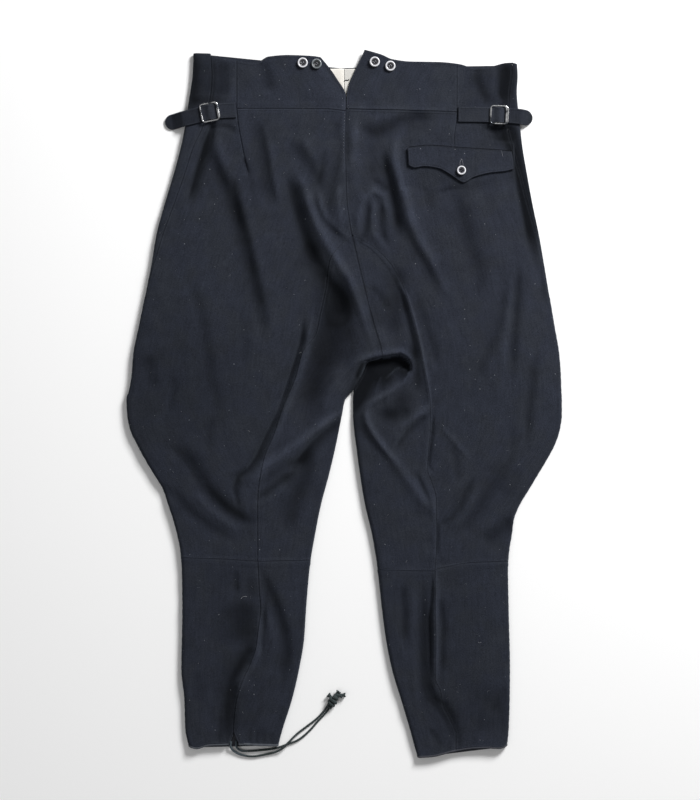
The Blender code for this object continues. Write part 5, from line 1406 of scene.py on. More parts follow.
def napped_twill():
    """Colour and height of the cloth, from its weave directions and its place."""
    tree, given, made = node_group(
        "napped_twill", "ShaderNodeTree",
        [("Weave", "Vector", None), ("Place", "Vector", None), ("Ground", "Color", None),
         ("Nap", "Color", None), ("Pitch", "Float", 0.0011)],
        [("Color", "Color"), ("Height", "Float")])
    scale = maths(tree, "DIVIDE", 0.444, given["Pitch"])
    lines = node(tree, "ShaderNodeTexWave", {"Vector": given["Weave"], "Scale": scale,
                                             "Distortion": 1.6, "Detail": 1.0},
                 wave_type="BANDS", bands_direction="DIAGONAL").outputs["Fac"]
    cloud = noise(tree, given["Place"], 60.0, 4.0, Roughness=0.6)
    fibres = noise(tree, given["Place"], 620.0, 3.0, Roughness=0.7)
    drawn = vector(tree, "MULTIPLY", given["Weave"], (1.0, 0.09, 1.0))
    streaks = noise(tree, drawn, 330.0, 3.0, Roughness=0.6)
    patches = plus(tree, centred(tree, cloud, 0.45), centred(tree, fibres, 1.5))
    share = plus(tree, patches, plus(tree, centred(tree, streaks, 0.6), 0.45))
    share = node(tree, "ShaderNodeClamp", {0: share}).outputs[0]
    faded = vector(tree, "MULTIPLY", given["Nap"], (1.05, 1.03, 0.93))
    old_dye = ranged(tree, noise(tree, given["Place"], 34.0, 2.0), 0.42, 0.62)
    nap = blend_colours(tree, old_dye, given["Nap"], faded)
    tree.links.new(blend_colours(tree, share, given["Ground"], nap), made["Color"])
    height = plus(tree, times(tree, lines, 0.35), times(tree, fibres, 1.2))
    tree.links.new(height, made["Height"])
    return tree


# %% Lint and seam marks
def lint_specks():
    """A mask of sparse small specks."""
    tree, given, made = node_group(
        "lint_specks", "ShaderNodeTree",
        [("Place", "Vector", None), ("Spacing", "Float", 0.007), ("Share", "Float", 0.3)],
        [("Mask", "Float")])
    scale = maths(tree, "DIVIDE", 1.0, given["Spacing"])
    cells = node(tree, "ShaderNodeTexVoronoi", {"Vector": given["Place"], "Scale": scale})
    parts = node(tree, "ShaderNodeSeparateColor", {0: cells.outputs["Color"]})
    size = times(tree, parts.outputs[1], 0.085)
    small = maths(tree, "LESS_THAN", cells.outputs["Distance"], size)
    chosen = maths(tree, "LESS_THAN", parts.outputs[0], given["Share"])
    tree.links.new(times(tree, small, chosen), made["Mask"])
    return tree


def seam_marks():
    """Two masks from the distance to a seam: painted shade in the groove, and the turn beside it, paler
    from rubbing and as a painted highlight.
    """
    tree, given, made = node_group(
        "seam_marks", "ShaderNodeTree",
        [("Distance", "Float", 20.0), ("Place", "Vector", None)],
        [("Groove_Shade", "Float"), ("Rubbed_And_Highlight", "Float")])
    tree.links.new(ranged(tree, given["Distance"], 0.25, 0.9, 1.0, 0.0), made["Groove_Shade"])
    rise = ranged(tree, given["Distance"], 0.7, 1.3)
    fall = ranged(tree, given["Distance"], 1.6, 3.2, 1.0, 0.0)
    patches = noise(tree, given["Place"], 160.0, 3.0)
    tree.links.new(times(tree, rise, fall, patches), made["Rubbed_And_Highlight"])
    return tree


TWILL, LINT, MARKS = napped_twill(), lint_specks(), seam_marks()
print("shader groups:", [made.name for made in (TWILL, LINT, MARKS)])

# %% Wool materials
# Painted light and shade: the tone mark's range, and the brightness painted at each end
PAINTED_LIGHT_RANGE = (-8.5, 4.5, 0.14, 1.58)        # the lowest and highest tone marks, and the light at each
GROOVE_SHADE_COLOUR = (0.004, 0.004, 0.006, 1.0)
SPECK_COLOUR = (0.32, 0.34, 0.37, 1.0)


def wool_material(name, ground, nap, edge, lint=0.3):
    """Dark napped wool with lint: painted light on its ridges, painted shade in its hollows and seam
    grooves, and turned edges paler from rubbing and as a painted highlight.
    """
    made, tree, shader = new_material(name, 0.95, Sheen_Weight=0.12, Sheen_Roughness=0.55,
                                      Specular_IOR_Level=0.06, Sheen_Tint=(0.62, 0.72, 0.9, 1.0))
    place = own_place(tree)
    weave = node(tree, "ShaderNodeUVMap", uv_map="weave").outputs[0]
    cloth_face = use_group(tree, TWILL, {"Weave": weave, "Place": place, "Ground": ground,
                                         "Nap": nap})
    marks = use_group(tree, MARKS, {"Distance": attribute(tree, "from_seam"), "Place": place})
    # Painted light and shade scale the cloth's colour by the tone mark
    light = ranged(tree, attribute(tree, "raised"), *PAINTED_LIGHT_RANGE)
    colour = vector(tree, "SCALE", cloth_face["Color"], scale=light)
    # The turn beside a seam: paler from rubbing and as a painted highlight; the groove: painted shade
    colour = blend_colours(tree, times(tree, marks["Rubbed_And_Highlight"], 0.2), colour, edge)
    colour = blend_colours(tree, times(tree, marks["Groove_Shade"], 0.4), colour, GROOVE_SHADE_COLOUR)
    specks = use_group(tree, LINT, {"Place": place, "Share": lint})["Mask"]
    colour = blend_colours(tree, times(tree, specks, 0.55), colour, SPECK_COLOUR)
    tree.links.new(colour, shader.inputs["Base Color"])
    bump(tree, shader, cloth_face["Height"], 0.0004, 0.8)
    return made


WOOL_LOOK = wool_material("wool_cloth", (0.0090, 0.0102, 0.0145, 1.0),
                          (0.0286, 0.0330, 0.0478, 1.0), (0.060, 0.068, 0.085, 1.0))
STRAP_LOOK = wool_material("wool_strap_cloth", (0.0090, 0.0104, 0.0150, 1.0),
                           (0.030, 0.034, 0.047, 1.0), (0.060, 0.068, 0.084, 1.0), lint=0.2)
for piece in PIECES.values():
    piece.data.materials.append(WOOL_LOOK)
print("materials:", len(bpy.data.materials))

# %% [markdown]
# ## Cotton, shell and plated steel
#
# The facing is undyed cotton drill and the binding a narrow cotton tape. The buttons are
# turned from shell: the rim is polished and catches the light, and the dished middle has
# dirt and painted shadow. The buckles are stamped steel with a bright plating and painted
# dark reflections.

# %% Materials of the small parts
def cotton_material(name, low, high, thread=0.0008):
    """Plain cotton: two crossing sets of threads, and a soft mottle."""
    made, tree, shader = new_material(name, 0.9, Specular_IOR_Level=0.15)
    place = own_place(tree)
    mottle = noise(tree, place, 110.0, 4.0)
    waves = [node(tree, "ShaderNodeTexWave", {"Vector": place, "Scale": 0.314 / thread,
                                              "Distortion": 0.8}, bands_direction=way).outputs["Fac"]
             for way in ("X", "Y")]
    height = plus(tree, *waves)
    share = plus(tree, times(tree, mottle, 0.7), times(tree, height, 0.15))
    tree.links.new(blend_colours(tree, share, low, high), shader.inputs["Base Color"])
    bump(tree, shader, height, 0.00012)
    return made


def shell_material(name, dish, rim, cloudy):
    """Polished shell whose colour goes by how far out on the button it is: dark in the dish, for dirt
    and painted shadow, pale at the rim.
    """
    made, tree, shader = new_material(name, 0.22, Specular_IOR_Level=0.5, Coat_Weight=0.35,
                                      Coat_Roughness=0.12)
    cloud = noise(tree, own_place(tree), 190.0, 4.0, Distortion=1.2)
    share = times(tree, ranged(tree, attribute(tree, "spread"), 0.58, 0.80),
                  plus(tree, 1 - cloudy, times(tree, cloud, cloudy)))
    tree.links.new(blend_colours(tree, share, dish, rim), shader.inputs["Base Color"])
    return made


def plated_material(name):
    """Plated steel with a slight haze, and stretches painted dark as painted dark reflections."""
    made, tree, shader = new_material(name, 0.2, Metallic=1.0)
    place = own_place(tree)
    haze = noise(tree, place, 320.0, 4.0)
    bright = blend_colours(tree, haze, (0.62, 0.63, 0.66, 1.0), (1.0, 1.0, 1.0, 1.0))
    # Stretches of painted dark reflection
    dark_reflection = ranged(tree, noise(tree, place, 62.0, 2.0), 0.52, 0.60)
    tree.links.new(blend_colours(tree, dark_reflection, bright, (0.13, 0.14, 0.16, 1.0)),
                   shader.inputs["Base Color"])
    tree.links.new(ranged(tree, haze, 0.0, 1.0, 0.14, 0.34), shader.inputs["Roughness"])
    return made


FINE_THREAD = 0.0004
BINDING_LOOKS = {
    "left": cotton_material("binding_cotton_pale", (0.035, 0.039, 0.046, 1.0),
                            (0.105, 0.115, 0.135, 1.0)),
    "right": cotton_material("binding_cotton", (0.020, 0.021, 0.027, 1.0),
                             (0.080, 0.084, 0.100, 1.0)),
}
FACING_LOOK = cotton_material("facing_cotton", (0.66, 0.62, 0.55, 1.0), (0.92, 0.90, 0.86, 1.0))
FACING_GREY_LOOK = cotton_material("facing_cotton_grey", (0.46, 0.45, 0.42, 1.0),
                                   (0.80, 0.78, 0.74, 1.0))
BUTTON_LOOK = shell_material("button_shell", (0.030, 0.029, 0.034, 1.0), (0.84, 0.84, 0.88, 1.0), 0.4)
BUTTON_PALE_LOOK = shell_material("button_shell_pale", (0.050, 0.050, 0.062, 1.0),
                                  (0.86, 0.86, 0.90, 1.0), 0.3)
# A darker copy of the shell, as a painted dark reflection on one button
BUTTON_PAINTED_DARK_LOOK = shell_material("button_shell_smoky", (0.020, 0.022, 0.024, 1.0),
                                  (0.30, 0.33, 0.35, 1.0), 0.9)
CHROME_LOOK = plated_material("buckle_plating")
THREAD_LOOK = cotton_material("sewing_thread_dark", (0.006, 0.0065, 0.009, 1.0),
                              (0.018, 0.020, 0.026, 1.0), FINE_THREAD)
PALE_THREAD_LOOK = cotton_material("sewing_thread_pale", (0.15, 0.155, 0.175, 1.0),
                                   (0.38, 0.385, 0.42, 1.0), FINE_THREAD)
LINT_LOOK = cotton_material("lint_fibre", (0.13, 0.135, 0.15, 1.0), (0.42, 0.43, 0.46, 1.0),
                            FINE_THREAD)
print("materials:", len(bpy.data.materials))


# %% [markdown]
# ## Small parts: sizes
#
# Two buttons each side of the notch hold the braces. The two half straps at the back pull
# the waist in through a buckle each. The hip pocket closes with a pointed flap and one
# button. At the left hem a cord comes out of the open end of the calf seam, so that the
# wearer can draw the hem tight under a boot.

# %% Tables of the small parts
BUTTON_RADIUS, POCKET_BUTTON_RADIUS = 7.15, 6.3
BUTTON_HOLE, BUTTON_HOLE_RING, BUTTON_HOLE_DEEP = 0.85, 1.9, 1.1
BUTTON_TOP_RINGS, BUTTON_SIDES = 26, 72
BUTTON_RISE = 0.7          # how far a brace button stands off the wool on its threads
THREAD_RADIUS = 0.45
THREAD_LOW, THREAD_OVER, THREAD_TOP = 0.6, 1.7, 2.15    # its heights through a button's holes
BUTTON_PROFILE = [         # share of the radius, height
    (0.0, 1.55), (0.42, 1.6), (0.60, 1.8), (0.70, 2.5), (0.80, 3.0), (0.90, 2.9), (0.97, 2.3),
    (1.0, 1.4), (0.97, 0.7), (0.86, 0.15), (0.0, 0.0),
]
FLAP_TOP = [(88.2, 357.7), (120, 360.4), (164, 357.4), (210, 354.5), (233, 353.1)]
FLAP_BOTTOM = [
    (88.2, 337.0), (92, 332.4), (98.6, 329.6), (112, 331.6), (131.6, 329.0), (150, 319.2),
    (164, 309.8), (167, 308.8), (170, 309.8), (180.6, 316.4), (206.5, 323.0), (225.4, 325.0),
    (235.0, 327.5),
]
FLAP_SIDES = [(360, 88.2, 233.0), (335, 90.0, 237.0), (308, 91.5, 236.0)]     # y, left, right
FLAP_THICK, FLAP_STEP, FLAP_REACH = 2.4, 2.2, 7.0
FLAP_LENGTH, FLAP_DEPTH = 147.0, 34.0
FLAP_GRID_X, FLAP_GRID_Y = np.linspace(84, 241, 40), np.linspace(304, 364, 16)
FACING_THICK, FACING_FLOOR = 1.0, 2.3
FACING_REACH = 30.0        # half width of the waist facing
FACING_LOW, FACING_DROP = 424.0, 0.6
SLIT_MIDDLE, SLIT_FACING = -154.4, 10.5
SLIT_LOW, SLIT_HIGH = -478.0, -455.0
FLAP_RIDGE, FLAP_RIDGE_WIDE, FLAP_STITCH_AT = 0.35, 6, 3.0   # the turned edge, and its stitches
FLAP_WAVE, FLAP_ROUNDS = 0.18, 8
STRAP_THICK, STRAP_WIDTH, STRAP_STEP = 2.0, 21.6, 1.6
STRAP_RIDGE, STRAP_RIDGE_WIDE, STRAP_STITCH_AT = 0.25, 4.5, 2.4
STRAP_FEEL = 13.5          # half width over which the strap feels what it lies on
STRAP_DRAPE = 7            # stiffness: how far ahead it starts to climb or fall
STRAP_TAIL_TONE = -2.8     # the loose end is darker
STRAPS = {
    "left": [(-151, 410.9), (-170, 410.0), (-187.6, 407.8), (-203, 404.2), (-222, 399.4),
             (-251, 393.4)],
    "right": [(159.5, 404.8), (190, 404.6), (217, 404.0), (232, 403.2), (248, 401.8),
              (264.6, 400.0)],
}
BUCKLES = {"left": (-187.5, 407.8, 191.0), "right": (217.0, 404.0, -2.0)}   # x, y, direction
BUCKLE_LENGTH, BUCKLE_WIDTH = 26.5, 26.6
BUCKLE_SIDES = {"left": (3.4, 2.2), "right": (2.6, 4.6)}     # towards local -x, +x
BUCKLE_RAIL, BUCKLE_INNER_CORNER, BUCKLE_CORNER_POINTS = 1.9, 1.8, 9
BUCKLE_THICK, BUCKLE_CORNER, BUCKLE_BAR = 2.2, 5.4, 1.1
BAR_RISE = 3.0             # how far the strap climbs over the bar
BINDING_OVER = {"left": 1.0, "right": 0.5}      # how far the tape reaches up over the wool
TAPE = 0.45                # thickness of the binding outside the wool
print("small parts:", len(STRAPS), "straps,", len(BUCKLES), "buckles")

# %% [markdown]
# ## What the cloth carries
#
# A flap or a strap is stiffer than the cloth under it, so it bridges hollows and rests on
# the high places. Its height at a point is the highest cloth within a short reach, smoothed.
# Rays cast down on the finished cloth read those heights.

# %% Ground
class Ground:
    """The pieces that others lie on. Heights are read from their own faces."""

    def __init__(self, things):
        bpy.context.view_layer.update()
        graph = bpy.context.evaluated_depsgraph_get()
        self.trees = [BVHTree.FromObject(thing, graph) for thing in things]

    def height(self, x, y):
        start = Vector((x, y, 100.0)) * MM
        hits = [tree.ray_cast(start, Vector((0, 0, -1)))[0] for tree in self.trees]
        return max([hit.z / MM for hit in hits if hit] + [0.0])

    def highest(self, x, y, reach):
        around = [(reach * share * math.cos(turn), reach * share * math.sin(turn))
                  for share in (0.5, 1.0) for turn in (n * math.pi / 4 for n in range(8))]
        return max(self.height(x + dx, y + dy) for dx, dy in [(0, 0)] + around)


BACK_GROUND, RISE_GROUND = (
    Ground([PIECES["cloth_%s_%s" % (part, side)] for part in parts for side in SIDE_DATA])
    for parts in (("back", "front"), ("back_rise", "back")))


def smoothed(values, reach):
    """A running mean along the first axis, with the ends held."""
    padded = np.pad(values, [(reach, reach)] + [(0, 0)] * (values.ndim - 1), mode="edge")
    return sum(padded[k:k + len(values)] for k in range(2 * reach + 1)) / (2 * reach + 1)


def rounded_over(away, thick):
    """How far the face of a piece drops towards an edge that is folded over."""
    radius = thick / 2
    return radius - np.sqrt(np.maximum(radius ** 2 - np.maximum(radius - away, 0) ** 2, 0))


def from_edge(points):
    """How far each point of a grid lies from the grid's nearest side."""
    return np.minimum.reduce(list(side_distances(points, whole_grid(points)).values()))


def add_slab(name, upper, thick, look, tone):
    """A closed piece of even thickness whose edges are rounded over."""
    away = from_edge(upper)
    drop = rounded_over(away, thick)[..., None] * np.array([0, 0, 1.0])
    lower = upper - np.array([0, 0, thick]) + drop
    piece = shell(name, upper - drop, lower,
                  marks={"from_seam": np.minimum(away, FAR_FROM_SEAM), "raised": tone})
    piece.data.materials.append(look)
    return piece


print("ground:", len(BACK_GROUND.trees), "pieces")


# %% Pocket flap
def pocket_flap():
    """Pointed flap of two layers of wool, with a seam's ridge round its edge."""
    top, bottom = smooth_line(FLAP_TOP), smooth_line(FLAP_BOTTOM)
    left, right = smooth_line(FLAP_SIDES, 1), smooth_line(FLAP_SIDES, 2)
    across = spaced(FLAP_LENGTH, FLAP_STEP)[None, :]
    down = 1 - spaced(FLAP_DEPTH, FLAP_STEP)[:, None]
    y = 340 + 0 * (across + down)
    for _ in range(FLAP_ROUNDS):
        x = left(y) + across * (right(y) - left(y))
        y = bottom(x) + down * (top(x) - bottom(x))
    rests = np.array([[BACK_GROUND.highest(a, b, FLAP_REACH) for a in FLAP_GRID_X]
                      for b in FLAP_GRID_Y])
    rests = smoothed(smoothed(rests, 2).T, 2).T
    u = np.interp(x, FLAP_GRID_X, np.arange(len(FLAP_GRID_X)))
    v = np.interp(y, FLAP_GRID_Y, np.arange(len(FLAP_GRID_Y)))
    i = np.minimum(v.astype(int), len(FLAP_GRID_Y) - 2)
    k = np.minimum(u.astype(int), len(FLAP_GRID_X) - 2)
    dv, du = v - i, u - k
    under = ((rests[i, k] * (1 - du) + rests[i, k + 1] * du) * (1 - dv)
             + (rests[i + 1, k] * (1 - du) + rests[i + 1, k + 1] * du) * dv)
    upper = np.stack([x, y, under + REST_GAP + FLAP_THICK], axis=-1)
    away = from_edge(upper)
    upper[..., 2] += (FLAP_RIDGE * ease((FLAP_RIDGE_WIDE - away) / 1.5) * ease(away / 0.8)
                      - FLAP_RIDGE * np.exp(-((away - FLAP_STITCH_AT) / 0.6) ** 2)
                      + FLAP_WAVE * np.sin(x / 7.0 + np.sin(y / 9.0)))
    from_top, from_right = (1 - down) * FLAP_DEPTH + 0 * x, (1 - across) * FLAP_LENGTH + 0 * x
    # Painted shadow along the flap's top edge, under the wool above it, and along its right edge
    tone = -8.0 * np.exp(-(from_top / 1.2) ** 2) - 5.0 * np.exp(-(from_right / 1.2) ** 2)
    return add_slab("flap_of_pocket", upper, FLAP_THICK, WOOL_LOOK, tone)


FLAP = pocket_flap()
FLAP_GROUND = Ground([FLAP])
print("flap:", len(FLAP.data.polygons), "faces")

# %% Straps
def strap_course(side):
    """Points down a strap, its directions, and the height of its underside at each."""
    points = rounded_route(STRAPS[side], 1.0)
    ways = directions(points)
    across = np.stack([-ways[:, 1], ways[:, 0]], axis=1)
    bare_height = []
    for point, aside in zip(points, across):
        marks = [point + aside * STRAP_FEEL * n / 4 for n in range(-4, 5)]
        bare_height.append(max(BACK_GROUND.height(*mark) for mark in marks))
    raised = [max(bare_height[max(0, i - STRAP_DRAPE):i + STRAP_DRAPE + 1])
              for i in range(len(bare_height))]
    under = smoothed(np.array(raised), STRAP_DRAPE) + REST_GAP
    return points, across, under


def strap(side):
    """Cinch strap of doubled wool with a round end, climbing over its buckle's bar."""
    points, across, under = strap_course(side)
    x, y, _ = BUCKLES[side]
    at = int(np.argmin(np.hypot(points[:, 0] - x, points[:, 1] - y)))
    run = np.arange(len(points), dtype=float)
    climbed = under + BAR_RISE * np.exp(-((run - at) / 5.0) ** 2)
    length, half = run[-1], STRAP_WIDTH / 2
    body = length - half
    station = np.concatenate([length * spaced(body, STRAP_STEP, True, False) * body / length,
                              body + half * np.sin(np.linspace(0, 1.54, 16))[1:]])
    past = np.maximum(station - body, 0) / half
    wide = half * np.sqrt(1 - np.minimum(past, 1) ** 2)
    share = 2 * spaced(STRAP_WIDTH, 2.0) - 1
    centre, aside = (np.stack([np.interp(station, run, rows[:, k]) for k in (0, 1)], axis=1)
                     for rows in (points, across))
    place = centre[:, None, :] + aside[:, None, :] * (wide[:, None] * share[None, :])[..., None]
    z = np.interp(station, run, climbed)[:, None] + STRAP_THICK + 0 * share[None, :]
    away = half * (1 - np.abs(share))[None, :] + 0 * z
    z = (z + STRAP_RIDGE * ease((STRAP_RIDGE_WIDE - away) / 1.0) * ease(away / 0.8)
         - STRAP_RIDGE * np.exp(-((away - STRAP_STITCH_AT) / 0.5) ** 2))
    upper = np.concatenate([place, z[..., None]], axis=2)
    tone = STRAP_TAIL_TONE * ease((station - at - 8) / 10)[:, None] + 0 * share[None, :]
    made = add_slab("strap_of_" + side, upper, STRAP_THICK, STRAP_LOOK, tone)
    beside = [climbed[i] for i in range(len(run)) if 8 <= abs(i - at) <= 15]
    frame_z = max(beside) + STRAP_THICK + 0.3 + BUCKLE_THICK / 2
    return made, frame_z, under[at] + 0.2 + BUCKLE_BAR, (points, across, climbed)


print("straps:", {side: len(route) for side, route in STRAPS.items()}, "points")

# %% Tubes and rings
def rings_to_mesh(name, rings, closed, look):
    """A smooth mesh through rings of points, closed on itself or capped at its ends."""
    rings = np.array(rings, float)
    count, sides = rings.shape[:2]
    faces = []
    for i in range(count if closed else count - 1):
        k = (i + 1) % count
        for n in range(sides):
            m = (n + 1) % sides
            faces.append((i * sides + n, i * sides + m, k * sides + m, k * sides + n))
    if not closed:
        faces += [tuple(range(sides))[::-1], tuple((count - 1) * sides + n for n in range(sides))]
    mesh = bpy.data.meshes.new(name)
    mesh.from_pydata((rings.reshape(-1, 3) * MM).tolist(), [], faces)
    mesh.polygons.foreach_set("use_smooth", np.ones(len(faces), bool))
    mesh.materials.append(look)
    turned = bmesh.new()
    turned.from_mesh(mesh)
    bmesh.ops.recalc_face_normals(turned, faces=turned.faces)
    turned.to_mesh(mesh)
    turned.free()
    return placed(name, mesh)


def tube_rings(course, radius, sides):
    """Rings of a round tube along a course of points."""
    ways = directions(course)
    over = np.where(np.abs(ways[:, 2:3]) < 0.8, [[0.0, 0.0, 1.0]], [[1.0, 0.0, 0.0]])
    right = np.cross(ways, over)
    right /= np.linalg.norm(right, axis=1, keepdims=True)
    up = np.cross(right, ways)
    turn = np.linspace(0, 2 * math.pi, sides, endpoint=False)[None, :, None]
    ring = right[:, None, :] * np.cos(turn) + up[:, None, :] * np.sin(turn)
    return course[:, None, :] + radius * ring


def rounded_rectangle(length, width, radius):
    """Points round a rectangle with arcs at its corners and points along its sides."""
    points = []
    for quarter, (sx, sy) in enumerate(((1, 1), (-1, 1), (-1, -1), (1, -1))):
        for angle in math.pi / 2 * (quarter + np.linspace(0, 1, BUCKLE_CORNER_POINTS)):
            points.append((sx * (length / 2 - radius) + radius * math.cos(angle),
                           sy * (width / 2 - radius) + radius * math.sin(angle), 0.0))
    return np.array(points)


def joined_pieces(name, pieces):
    """Put several meshes into one piece, without welding them."""
    mesh = bmesh.new()
    for piece in pieces:
        mesh.from_mesh(piece.data)
    made = bpy.data.meshes.new(name)
    mesh.to_mesh(made)
    mesh.free()
    made.materials.append(pieces[0].data.materials[0])
    for piece in pieces:
        bpy.data.objects.remove(piece)
    return placed(name, made)


# %% Buckles
def buckle(side, frame_z, bar_z):
    """Plated frame over the strap, wider at the two ends, with its bar under the strap."""
    x, y, direction = BUCKLES[side]
    near, far = BUCKLE_SIDES[side]
    outer = rounded_rectangle(BUCKLE_LENGTH, BUCKLE_WIDTH, BUCKLE_CORNER)
    inner = rounded_rectangle(BUCKLE_LENGTH - near - far, BUCKLE_WIDTH - 2 * BUCKLE_RAIL,
                              BUCKLE_INNER_CORNER)
    inner[:, 0] += (near - far) / 2
    turn = np.linspace(0, 2 * math.pi, 20, endpoint=False)
    middle, half = (outer + inner) / 2, (outer - inner) / 2
    section = np.sign(np.cos(turn)) * np.abs(np.cos(turn)) ** 0.6
    rise = np.sign(np.sin(turn)) * np.abs(np.sin(turn)) ** 0.7 * BUCKLE_THICK / 2
    dip = ease((middle[:, :1] - 8) / 3) * (far > 4) * (0.75 * np.exp(-(section / 0.3) ** 2))[None, :]
    rings = (middle[:, None, :] + half[:, None, :] * section[None, :, None]
             + (rise[None, :] * (1 - dip))[..., None] * np.array([0, 0, 1.0]))
    frame_part = rings_to_mesh("buckle_frame", rings, True, CHROME_LOOK)
    rail = (BUCKLE_WIDTH - BUCKLE_RAIL) / 2
    low = bar_z - frame_z
    course = rounded_route([(0, rail, 0.2), (0, rail, low + 0.8), (0, rail - 1.0, low), (0, 0, low),
                            (0, 1.0 - rail, low), (0, -rail, low + 0.8), (0, -rail, 0.2)], 0.8)
    bar = rings_to_mesh("buckle_bar", tube_rings(course, BUCKLE_BAR * 0.86, 10), False, CHROME_LOOK)
    whole = joined_pieces("buckle_of_" + side, [frame_part, bar])
    whole.data.transform(Matrix.Translation(Vector((x, y, frame_z)) * MM)
                         @ Matrix.Rotation(math.radians(direction), 4, "Z"))
    return whole


STRAP_PIECES, BUCKLE_PIECES, STRAP_LINES = {}, {}, {}
for side in STRAPS:
    STRAP_PIECES[side], high, low, STRAP_LINES[side] = strap(side)
    BUCKLE_PIECES[side] = buckle(side, high, low)
    print(side, "buckle at", round(high, 1), "mm,", len(STRAP_PIECES[side].data.polygons), "strap faces")

# %% Buttons
def button_thread(x, y, z, way, look):
    """One bar of thread between two neighbouring holes of a button."""
    (ax, ay), (bx, by) = [(x + BUTTON_HOLE_RING * math.cos(angle),
                           y + BUTTON_HOLE_RING * math.sin(angle))
                          for angle in (way + side * math.pi / 4 for side in (-1, 1))]
    course = rounded_route([(ax, ay, z + THREAD_LOW), (ax, ay, z + THREAD_OVER),
                            ((ax + bx) / 2, (ay + by) / 2, z + THREAD_TOP),
                            (bx, by, z + THREAD_OVER), (bx, by, z + THREAD_LOW)], 0.35)
    return rings_to_mesh("thread", tube_rings(course, THREAD_RADIUS, 8), False, look)


def button(name, node_name, radius, look):
    """A four-hole button with a bright rim and a dished middle, sewn on with thread."""
    low, high = (np.array(corner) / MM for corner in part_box(node_name))
    x, y = (low[:2] + high[:2]) / 2
    z = RISE_GROUND.highest(x, y, radius) + BUTTON_RISE if radius == BUTTON_RADIUS else low[2]
    shares, heights = np.array(BUTTON_PROFILE).T
    run = np.concatenate([[0], np.cumsum(np.hypot(np.diff(shares) * radius, np.diff(heights)))])
    want = np.concatenate([np.linspace(0.02, run[6], BUTTON_TOP_RINGS), run[7:-1], [run[-1] - 0.02]])
    reach = np.interp(want, run, shares) * radius
    turn = np.linspace(0, 2 * math.pi, BUTTON_SIDES, endpoint=False)
    px, py = reach[:, None] * np.cos(turn), reach[:, None] * np.sin(turn)
    pz = np.interp(want, run, heights)[:, None] + 0 * px
    on_top = (np.arange(len(want)) < BUTTON_TOP_RINGS)[:, None]
    for n in range(4):
        angle = math.pi / 4 + n * math.pi / 2 + x
        hole = np.hypot(px - BUTTON_HOLE_RING * math.cos(angle), py - BUTTON_HOLE_RING * math.sin(angle))
        pz = pz - on_top * BUTTON_HOLE_DEEP * ease((BUTTON_HOLE + 0.25 - hole) / 0.4)
    disc = rings_to_mesh(name, np.stack([px + x, py + y, pz + z], axis=-1), False, look)
    spread = np.repeat(reach / radius, BUTTON_SIDES).astype(np.float32)
    disc.data.attributes.new("spread", "FLOAT", "POINT").data.foreach_set("value", spread)
    thread_look = THREAD_LOOK if look is BUTTON_PALE_LOOK else PALE_THREAD_LOOK
    threads = [button_thread(x, y, z, x + flip * math.pi / 2, thread_look) for flip in (-1, 1)]
    return disc, joined_pieces("thread_of_" + node_name, threads)


BUTTONS = {}
for number in (1, 2, 3, 4):
    solid = "brace_button_%d" % number
    # The second button has the shell with the painted dark reflection
    look = BUTTON_PAINTED_DARK_LOOK if number == 2 else BUTTON_LOOK
    BUTTONS[solid] = button("button_of_brace_%d" % number, solid, BUTTON_RADIUS, look)
BUTTONS["pocket_button"] = button("button_of_pocket", "pocket_button", POCKET_BUTTON_RADIUS,
                                  BUTTON_PALE_LOOK)
print("buttons:", sorted(BUTTONS))

# %% Hem bindings
def hem_binding(side):
    """Cotton tape that wraps the raw edge of the hem, open at the calf seam."""
    data = SIDE_DATA[side]
    inner, outer = data["inner"], data["outer"]
    top, turn = spaced(ABOUT["hem"], 2.0, False, True), (0.2, 0.4, 0.6, 0.8, 1.0)
    columns = ([(outer, share, True) for share in top[::-1]]
               + [(outer, share, False) for share in turn]
               + [(inner, share, False) for share in turn[::-1]]
               + [(inner, share, True) for share in top])
    points, normals = [], []
    lift = np.array([[BINDING + BINDING_OVER[side]], [BINDING * 0.55], [0.0]])
    for edge, share, is_upper in columns:
        over = lift if is_upper and edge is inner else lift - [[BINDING_OVER[side]], [0], [0]]
        y = data["hem_y"] + over
        for _ in range(ROUNDS):
            slit = hem_slit(y) * data["slit_share"]
            end = edge.q(data["calf"](y) - edge.inward * (slit + SEAM_GAP), y)
            q = share * (end if is_upper else QUARTER + 0 * y)
            y = data["hem"](edge.x(q, y)) + over
        face = edge.upper if is_upper else edge.lower
        points.append(face(q, y))
        normals.append(outward(face, q, y, edge.inward * (1 if is_upper else -1)))
    faces = [np.concatenate(points, axis=1) + np.concatenate(normals, axis=1) * off
             for off in (TAPE, -WOOL)]
    for face in faces:
        face[..., 2] = np.maximum(face[..., 2], 0.0)
    made = shell("binding_of_" + side, *faces)
    made.data.materials.append(BINDING_LOOKS[side])
    return made


BINDINGS = {side: hem_binding(side) for side in SIDE_DATA}
for side, made in BINDINGS.items():
    print("binding", side, len(made.data.polygons), "faces")

# %% Facings
def facing(side, first, last, low_y, high_y, look):
    """A thin flat piece between two heights, the upper one given as a line across."""
    across = np.linspace(first, last, 24)[None, :]
    share = np.linspace(1, 0, 24)[:, None]
    y = low_y + share * (high_y(across) - low_y)
    x = across + 0 * y
    wave = 0.12 * np.sin(x / 3.1 + y / 7.0) + 0.1 * np.sin(x / 8.0 - y / 4.0)
    upper = np.stack([x, y, FACING_FLOOR + FACING_THICK + wave], axis=-1)
    lower = np.stack([x, y, np.full(y.shape, FACING_FLOOR)], axis=-1)
    FACINGS[side] = shell("facing_of_" + side, upper, lower)
    FACINGS[side].data.materials.append(look)


def facing_top(x):
    """The facing's upper edge, just below the fronts' own."""
    return front_top(x) - FACING_DROP - ease((x + 6) / 12)


